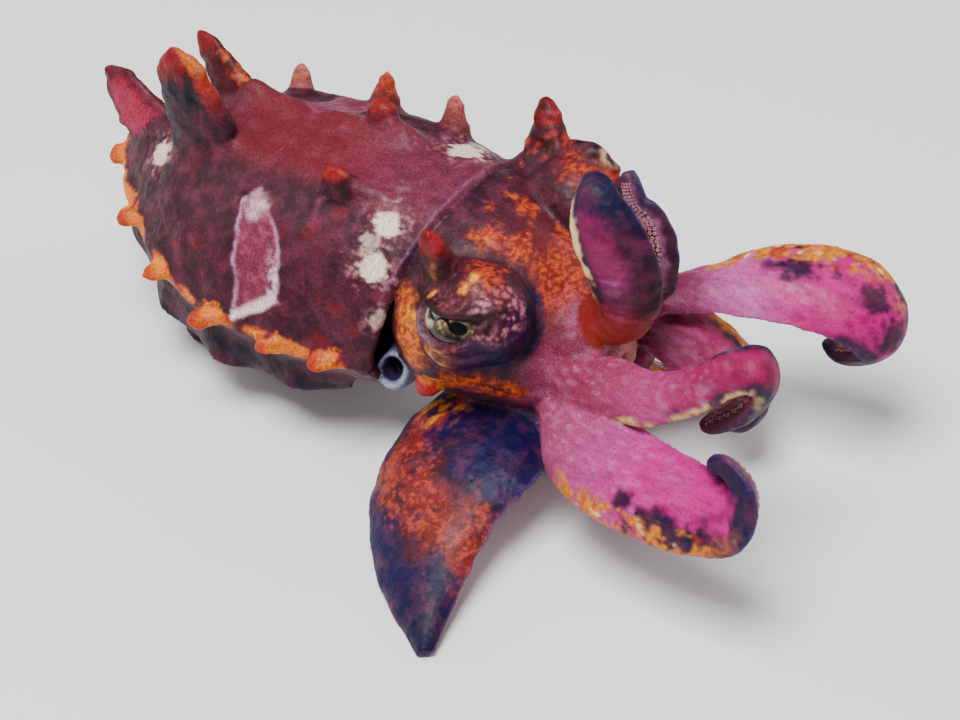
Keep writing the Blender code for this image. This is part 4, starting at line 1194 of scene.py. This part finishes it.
def paint_all():
    paint_mantle()
    paint_bands()
    paint_keel()
    paint_papillae()
    paint_fins()
    paint_head()
    paint_eye_bulges()
    paint_horns()
    paint_funnel()
    for row in PINK_ARMS:
        paint_arm(*row)
    paint_first_arms()
    paint_leaf_arm("arm_4_right")
    paint_leaf_arm("arm_4_left")
    paint_arm_details()
    only(kind == FLAP)
    lay(1.0, (96, 44, 70), 0.3)


paint_all()
paint.colours = sheet.spread(paint.colours, 1)


def add_attribute(mesh, name, values):
    if values.ndim == 2:
        layer = mesh.attributes.new(name, "FLOAT_COLOR", "POINT")
        layer.data.foreach_set("color", np.hstack([values, np.ones((len(values), 1))]).ravel())
    else:
        layer = mesh.attributes.new(name, "FLOAT", "POINT")
        layer.data.foreach_set("value", values)


add_attribute(skin.data, "paint", paint.colours)
add_attribute(skin.data, "speckle", paint.speckle)
add_attribute(skin.data, "grain", sheet.spread(np.where(is_arm & (kind < FIRST_ARM + 6), 0.35, 1.0), 3))


class Nodes:
    """Short ways to add shader nodes to a new material."""

    def __init__(self, name):
        self.material = bpy.data.materials.new(name)
        self.material.use_nodes = True
        self.tree = self.material.node_tree
        self.shader = self.tree.nodes["Principled BSDF"]
        self.place = self.add("ShaderNodeTexCoord").outputs["Object"]

    def feed(self, node, inputs):
        """Links or sets each input, whichever its value is."""
        for key, value in inputs.items():
            if isinstance(value, bpy.types.NodeSocket):
                self.tree.links.new(value, node.inputs[key])
            else:
                node.inputs[key].default_value = value

    def add(self, node_type, inputs=None, **settings):
        node = self.tree.nodes.new(node_type)
        for key, value in settings.items():
            setattr(node, key, value)
        self.feed(node, inputs or {})
        return node

    def mix(self, first, second, share, blend="MIX"):
        inputs = {0: share, 6: first, 7: second}
        return self.add("ShaderNodeMix", inputs, data_type="RGBA", blend_type=blend).outputs[2]

    def ramp(self, value, low, high, start=0.0, end=1.0):
        return self.add("ShaderNodeMapRange", {0: value, 1: low, 2: high, 3: start, 4: end}).outputs[0]

    def times(self, first, second, operation="MULTIPLY"):
        return self.add("ShaderNodeMath", {0: first, 1: second}, operation=operation).outputs[0]

    def noise(self, scale, detail=3.0):
        inputs = {"Vector": self.place, "Scale": scale, "Detail": detail}
        return self.add("ShaderNodeTexNoise", inputs).outputs["Fac"]

    def cells(self, scale):
        return self.add("ShaderNodeTexVoronoi", {"Vector": self.place, "Scale": scale}).outputs["Distance"]

    def attribute(self, name, output):
        return self.add("ShaderNodeAttribute", attribute_name=name).outputs[output]

    def bump(self, height, strength, distance):
        inputs = {"Height": height, "Strength": strength, "Distance": distance}
        return self.add("ShaderNodeBump", inputs).outputs[0]

    def dots(self, scale, low, high, where):
        """Small round dots on the places where the given value is high."""
        return self.times(self.ramp(self.cells(scale), low, high, 1.0, 0.0), where)


def skin_material():
    nodes = Nodes("cuttlefish_skin")
    painted = nodes.attribute("paint", "Color")
    strength = nodes.attribute("speckle", "Fac")
    soft, small, broad = nodes.noise(420.0), nodes.noise(1800.0, 2.0), nodes.noise(900.0)
    tinted = nodes.mix(painted, (0.30, 0.05, 0.10, 1), nodes.ramp(soft, 0.45, 0.75, 0.0, 0.25))
    dark_dots = nodes.dots(2100.0, 0.12, 0.42, nodes.ramp(small, 0.4, 0.6))
    dotted = nodes.mix(tinted, (0.45, 0.30, 0.36, 1), nodes.times(dark_dots, 0.75), "MULTIPLY")
    light_dots = nodes.dots(3900.0, 0.2, 0.5, nodes.ramp(broad, 0.38, 0.62))
    speckled = nodes.mix(dotted, painted, nodes.times(light_dots, nodes.times(strength, 0.55)), "SCREEN")
    grain = nodes.ramp(nodes.noise(4200.0, 1.0), 0.36, 0.64, 0.66, 1.25)
    grey = nodes.add("ShaderNodeCombineColor", {0: grain, 1: grain, 2: grain}).outputs[0]
    height = nodes.times(nodes.times(nodes.cells(1500.0), 0.6), nodes.times(small, 0.5), "ADD")
    nodes.feed(nodes.shader, {
        "Base Color": nodes.mix(speckled, grey, nodes.attribute("grain", "Fac"), "MULTIPLY"),
        "Roughness": nodes.ramp(broad, 0.3, 0.7, 0.44, 0.66),
        "Normal": nodes.bump(height, 0.35, 0.00022),
        "Subsurface Weight": 0.10,
        "Subsurface Radius": (1.0, 0.35, 0.3),
        "Subsurface Scale": 0.0012,
        "Specular IOR Level": 0.2,
        "Coat Weight": 0.03,
        "Coat Roughness": 0.25,
    })
    return nodes.material


skin.data.materials.clear()
skin.data.materials.append(skin_material())
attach(skin, "root")
FLESH = [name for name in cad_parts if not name.startswith("eye_")]
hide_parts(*FLESH)


def eye_material():
    nodes = Nodes("eyeball")
    painted = nodes.attribute("paint", "Color")
    streaks = nodes.ramp(nodes.noise(2600.0), 0.4, 0.65, 0.0, 0.5)
    nodes.feed(nodes.shader, {
        "Base Color": nodes.mix(painted, (0.62, 0.60, 0.42, 1), streaks, "SOFT_LIGHT"),
        "Roughness": nodes.ramp(nodes.noise(1200.0), 0.3, 0.7, 0.08, 0.2),
        "Normal": nodes.bump(nodes.noise(1500.0), 0.05, 0.0001),
        "Specular IOR Level": 0.25,
        "Coat Weight": 0.45,
        "Coat Roughness": 0.05,
    })
    return nodes.material


EYE_MATERIAL = eye_material()


# Dark parts of the pupil below its wavy band: middle and radii
PUPIL_SPOTS = [((-2.8, 0.75), (0.42, 0.46)), ((1.5, 0.85), (1.2, 0.85)), ((-0.5, 1.5), (0.7, 0.4))]


def eyeball(side, node):
    """A round eye with a silvery iris and a dark pupil shaped like a W, partly under the upper lid."""
    ball = Forms()
    look, ahead, up = opening_frame(side)
    ring = hoop(full_turn(220), 1.0, ahead, 1.0, up)
    rings = []
    for polar in np.linspace(0.004, math.pi - 0.004, 200):
        rings.append(eye_centre(side) + EYE_RADIUS * (math.cos(polar) * look + math.sin(polar) * ring))
    if side > 0:
        rings = [ring[::-1] for ring in rings]
    ball.loft(rings, 0)
    spots = np.vstack(ball.points)
    piece = mesh_piece(node + "_ball", spots, ball.faces)
    _, a, b, facing = on_eye(spots, side)
    coat = Paint(spots, (126, 110, 88))
    grain = noise(spots, 0.5, 81)
    coat.lay(ease(0.45, 0.65, grain) * 0.8, (186, 172, 142))
    coat.lay(ease(0.5, 0.7, noise(spots, 0.9, 82)) * 0.7, (82, 72, 52))
    coat.lay(ease(-1.6, -3.0, a) * 0.6, (214, 204, 184))
    wave = 1.05 + 0.4 * np.cos((a + 0.55) * 2.1) * bell(a + 0.55, 2.6)
    band = fade(0.1, 0.26, np.abs(b - wave) - 0.06)
    coat.lay(band * (np.abs(a + 0.5) < 2.9), (20, 16, 22))
    for (ahead_place, up_place), (half, tall) in PUPIL_SPOTS:
        gap = np.hypot((a - ahead_place) / half, (b - up_place) / tall)
        coat.lay(fade(0.85, 1.1, gap), (14, 11, 16))
    coat.lay(ease(0.45, -0.7, b - 0.15 * a) * 0.9, (46, 28, 40))
    coat.lay(fade(0.3, 0.5, facing), (30, 20, 30))
    add_attribute(piece.data, "paint", coat.colours)
    piece.data.shade_smooth()
    piece.data.materials.append(EYE_MATERIAL)
    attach(piece, "root")
    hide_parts(node)


eyeball(-1, "eye_right")
eyeball(1, "eye_left")


# Height and width of a sucker's rings, as shares of its radius
SUCKER_PROFILE = [
    (-0.5, 0.55), (0.15, 0.6), (0.4, 0.9), (0.62, 1.0), (0.8, 0.93), (0.84, 0.76), (0.7, 0.6), (0.35, 0.42),
]


def sucker(forms, base, normal, radius):
    """A small cup on a short stalk, with a rolled rim and a pit."""
    wide = unit(np.cross(normal, (0.31, 0.52, 0.79)))
    third = np.cross(normal, wide)
    circle = hoop(full_turn(14), 1.0, wide, 1.0, third)
    rings = [base + normal * height * radius + circle * size * radius for height, size in SUCKER_PROFILE]
    forms.loft(rings, 0)


def sucker_field():
    """Four rows of suckers along the inner face of each arm, smaller towards its tip."""
    field = Forms()
    for arm in ARM_NAMES:
        line = np.array(ARMS[arm][0])[:, :3]
        length = np.linalg.norm(np.diff(line, axis=0), axis=1).sum()
        place, row = 0.17 * length, 0
        while place < 0.965 * length:
            middle, across, face, _, width = arm_frames(arm, [place / length])[0]
            radius = min(0.3 + 0.035 * width, 0.72) * (1.0 - 0.45 * (place / length) ** 3)
            radius *= 0.62 if arm.startswith("arm_1") else 1.0
            shift = (row % 2 - 0.5) * 0.5
            for column in (-1.5, -0.5, 0.5, 1.5):
                off = (column + shift * 0.5) * min(radius * 2.3, 0.2 * width)
                share = off / (0.5 * width)
                if abs(share) < 0.66:
                    drop = (0.65 + 0.06 * width) * (1 - share**2) ** 0.8
                    normal = unit(-face + across * share * 0.5)
                    base = middle + across * off - face * (drop - 0.1)
                    if base[2] > 1.5:
                        size = min(radius * (1.0 - 0.25 * abs(share)), 0.14 * width + 0.08)
                        sucker(field, base, normal, size)
            place += radius * 2.2
            row += 1
    return field


def sucker_material():
    nodes = Nodes("sucker_rims")
    base = nodes.mix((0.52, 0.22, 0.26, 1), (0.30, 0.08, 0.14, 1), nodes.ramp(nodes.noise(500.0), 0.4, 0.65))
    pale = nodes.ramp(nodes.noise(2400.0), 0.5, 0.7, 0.0, 0.5)
    nodes.feed(nodes.shader, {
        "Base Color": nodes.mix(base, (0.8, 0.55, 0.5, 1), pale),
        "Roughness": nodes.ramp(nodes.noise(900.0), 0.3, 0.7, 0.3, 0.5),
        "Normal": nodes.bump(nodes.noise(3000.0), 0.2, 0.0001),
        "Coat Weight": 0.3,
    })
    return nodes.material


field = sucker_field()
cups = mesh_piece("suckers", np.vstack(field.points), field.faces)
cups.data.shade_smooth()
cups.data.materials.append(sucker_material())
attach(cups, "root")
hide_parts(*[f"{arm}_{part}" for arm in ARM_NAMES for part in ("base", "tip")])


LIGHT_TARGET = Vector((0, 0, 0.02))


def area_light(name, place, size, power):
    data = bpy.data.lights.new(name, "AREA")
    data.size = size
    data.energy = power
    lamp = bpy.data.objects.new(name, data)
    lamp.location = place
    lamp.rotation_euler = (Vector(place) - LIGHT_TARGET).to_track_quat("Z", "Y").to_euler()
    bpy.context.scene.collection.objects.link(lamp)


area_light("key", (0.02, -0.16, 0.46), 0.2, 3.6)
area_light("fill", (-0.4, -0.1, 0.25), 0.35, 0.8)
area_light("back", (0.25, 0.4, 0.3), 0.3, 1.1)
world = bpy.data.worlds.new("studio")
world.use_nodes = True
world.node_tree.nodes["Background"].inputs["Color"].default_value = (0.93, 0.95, 1.0, 1)
world.node_tree.nodes["Background"].inputs["Strength"].default_value = 0.27
bpy.context.scene.world = world

FLOOR_REACH = 900
FLOOR_CORNERS = [(x * FLOOR_REACH, y * FLOOR_REACH, 0) for x, y in ((-1, -1), (1, -1), (1, 1), (-1, 1))]
floor = mesh_piece("floor", FLOOR_CORNERS, [(0, 1, 2, 3)])
floor_paint = Nodes("floor")
floor_paint.feed(floor_paint.shader, {"Base Color": (0.9, 0.9, 0.89, 1), "Roughness": 0.85})
floor.data.materials.append(floor_paint.material)

CAMERA_AZIMUTH, CAMERA_ELEVATION, CAMERA_DISTANCE, LENS = math.radians(35), math.radians(42), 272.0, 75.0
CAMERA_TARGET = np.array([61.0, 0.0, 8.0])
back = np.array([
    math.sin(CAMERA_AZIMUTH) * math.cos(CAMERA_ELEVATION),
    -math.cos(CAMERA_AZIMUTH) * math.cos(CAMERA_ELEVATION),
    math.sin(CAMERA_ELEVATION),
])
camera = bpy.data.objects.new("camera", bpy.data.cameras.new("camera"))
bpy.context.scene.collection.objects.link(camera)
camera.data.lens = LENS
camera.data.clip_start = 0.01
camera.location = (CAMERA_TARGET + back * CAMERA_DISTANCE + SHIFT) * MM
camera.rotation_euler = Vector(back).to_track_quat("Z", "Y").to_euler()
bpy.context.scene.camera = camera
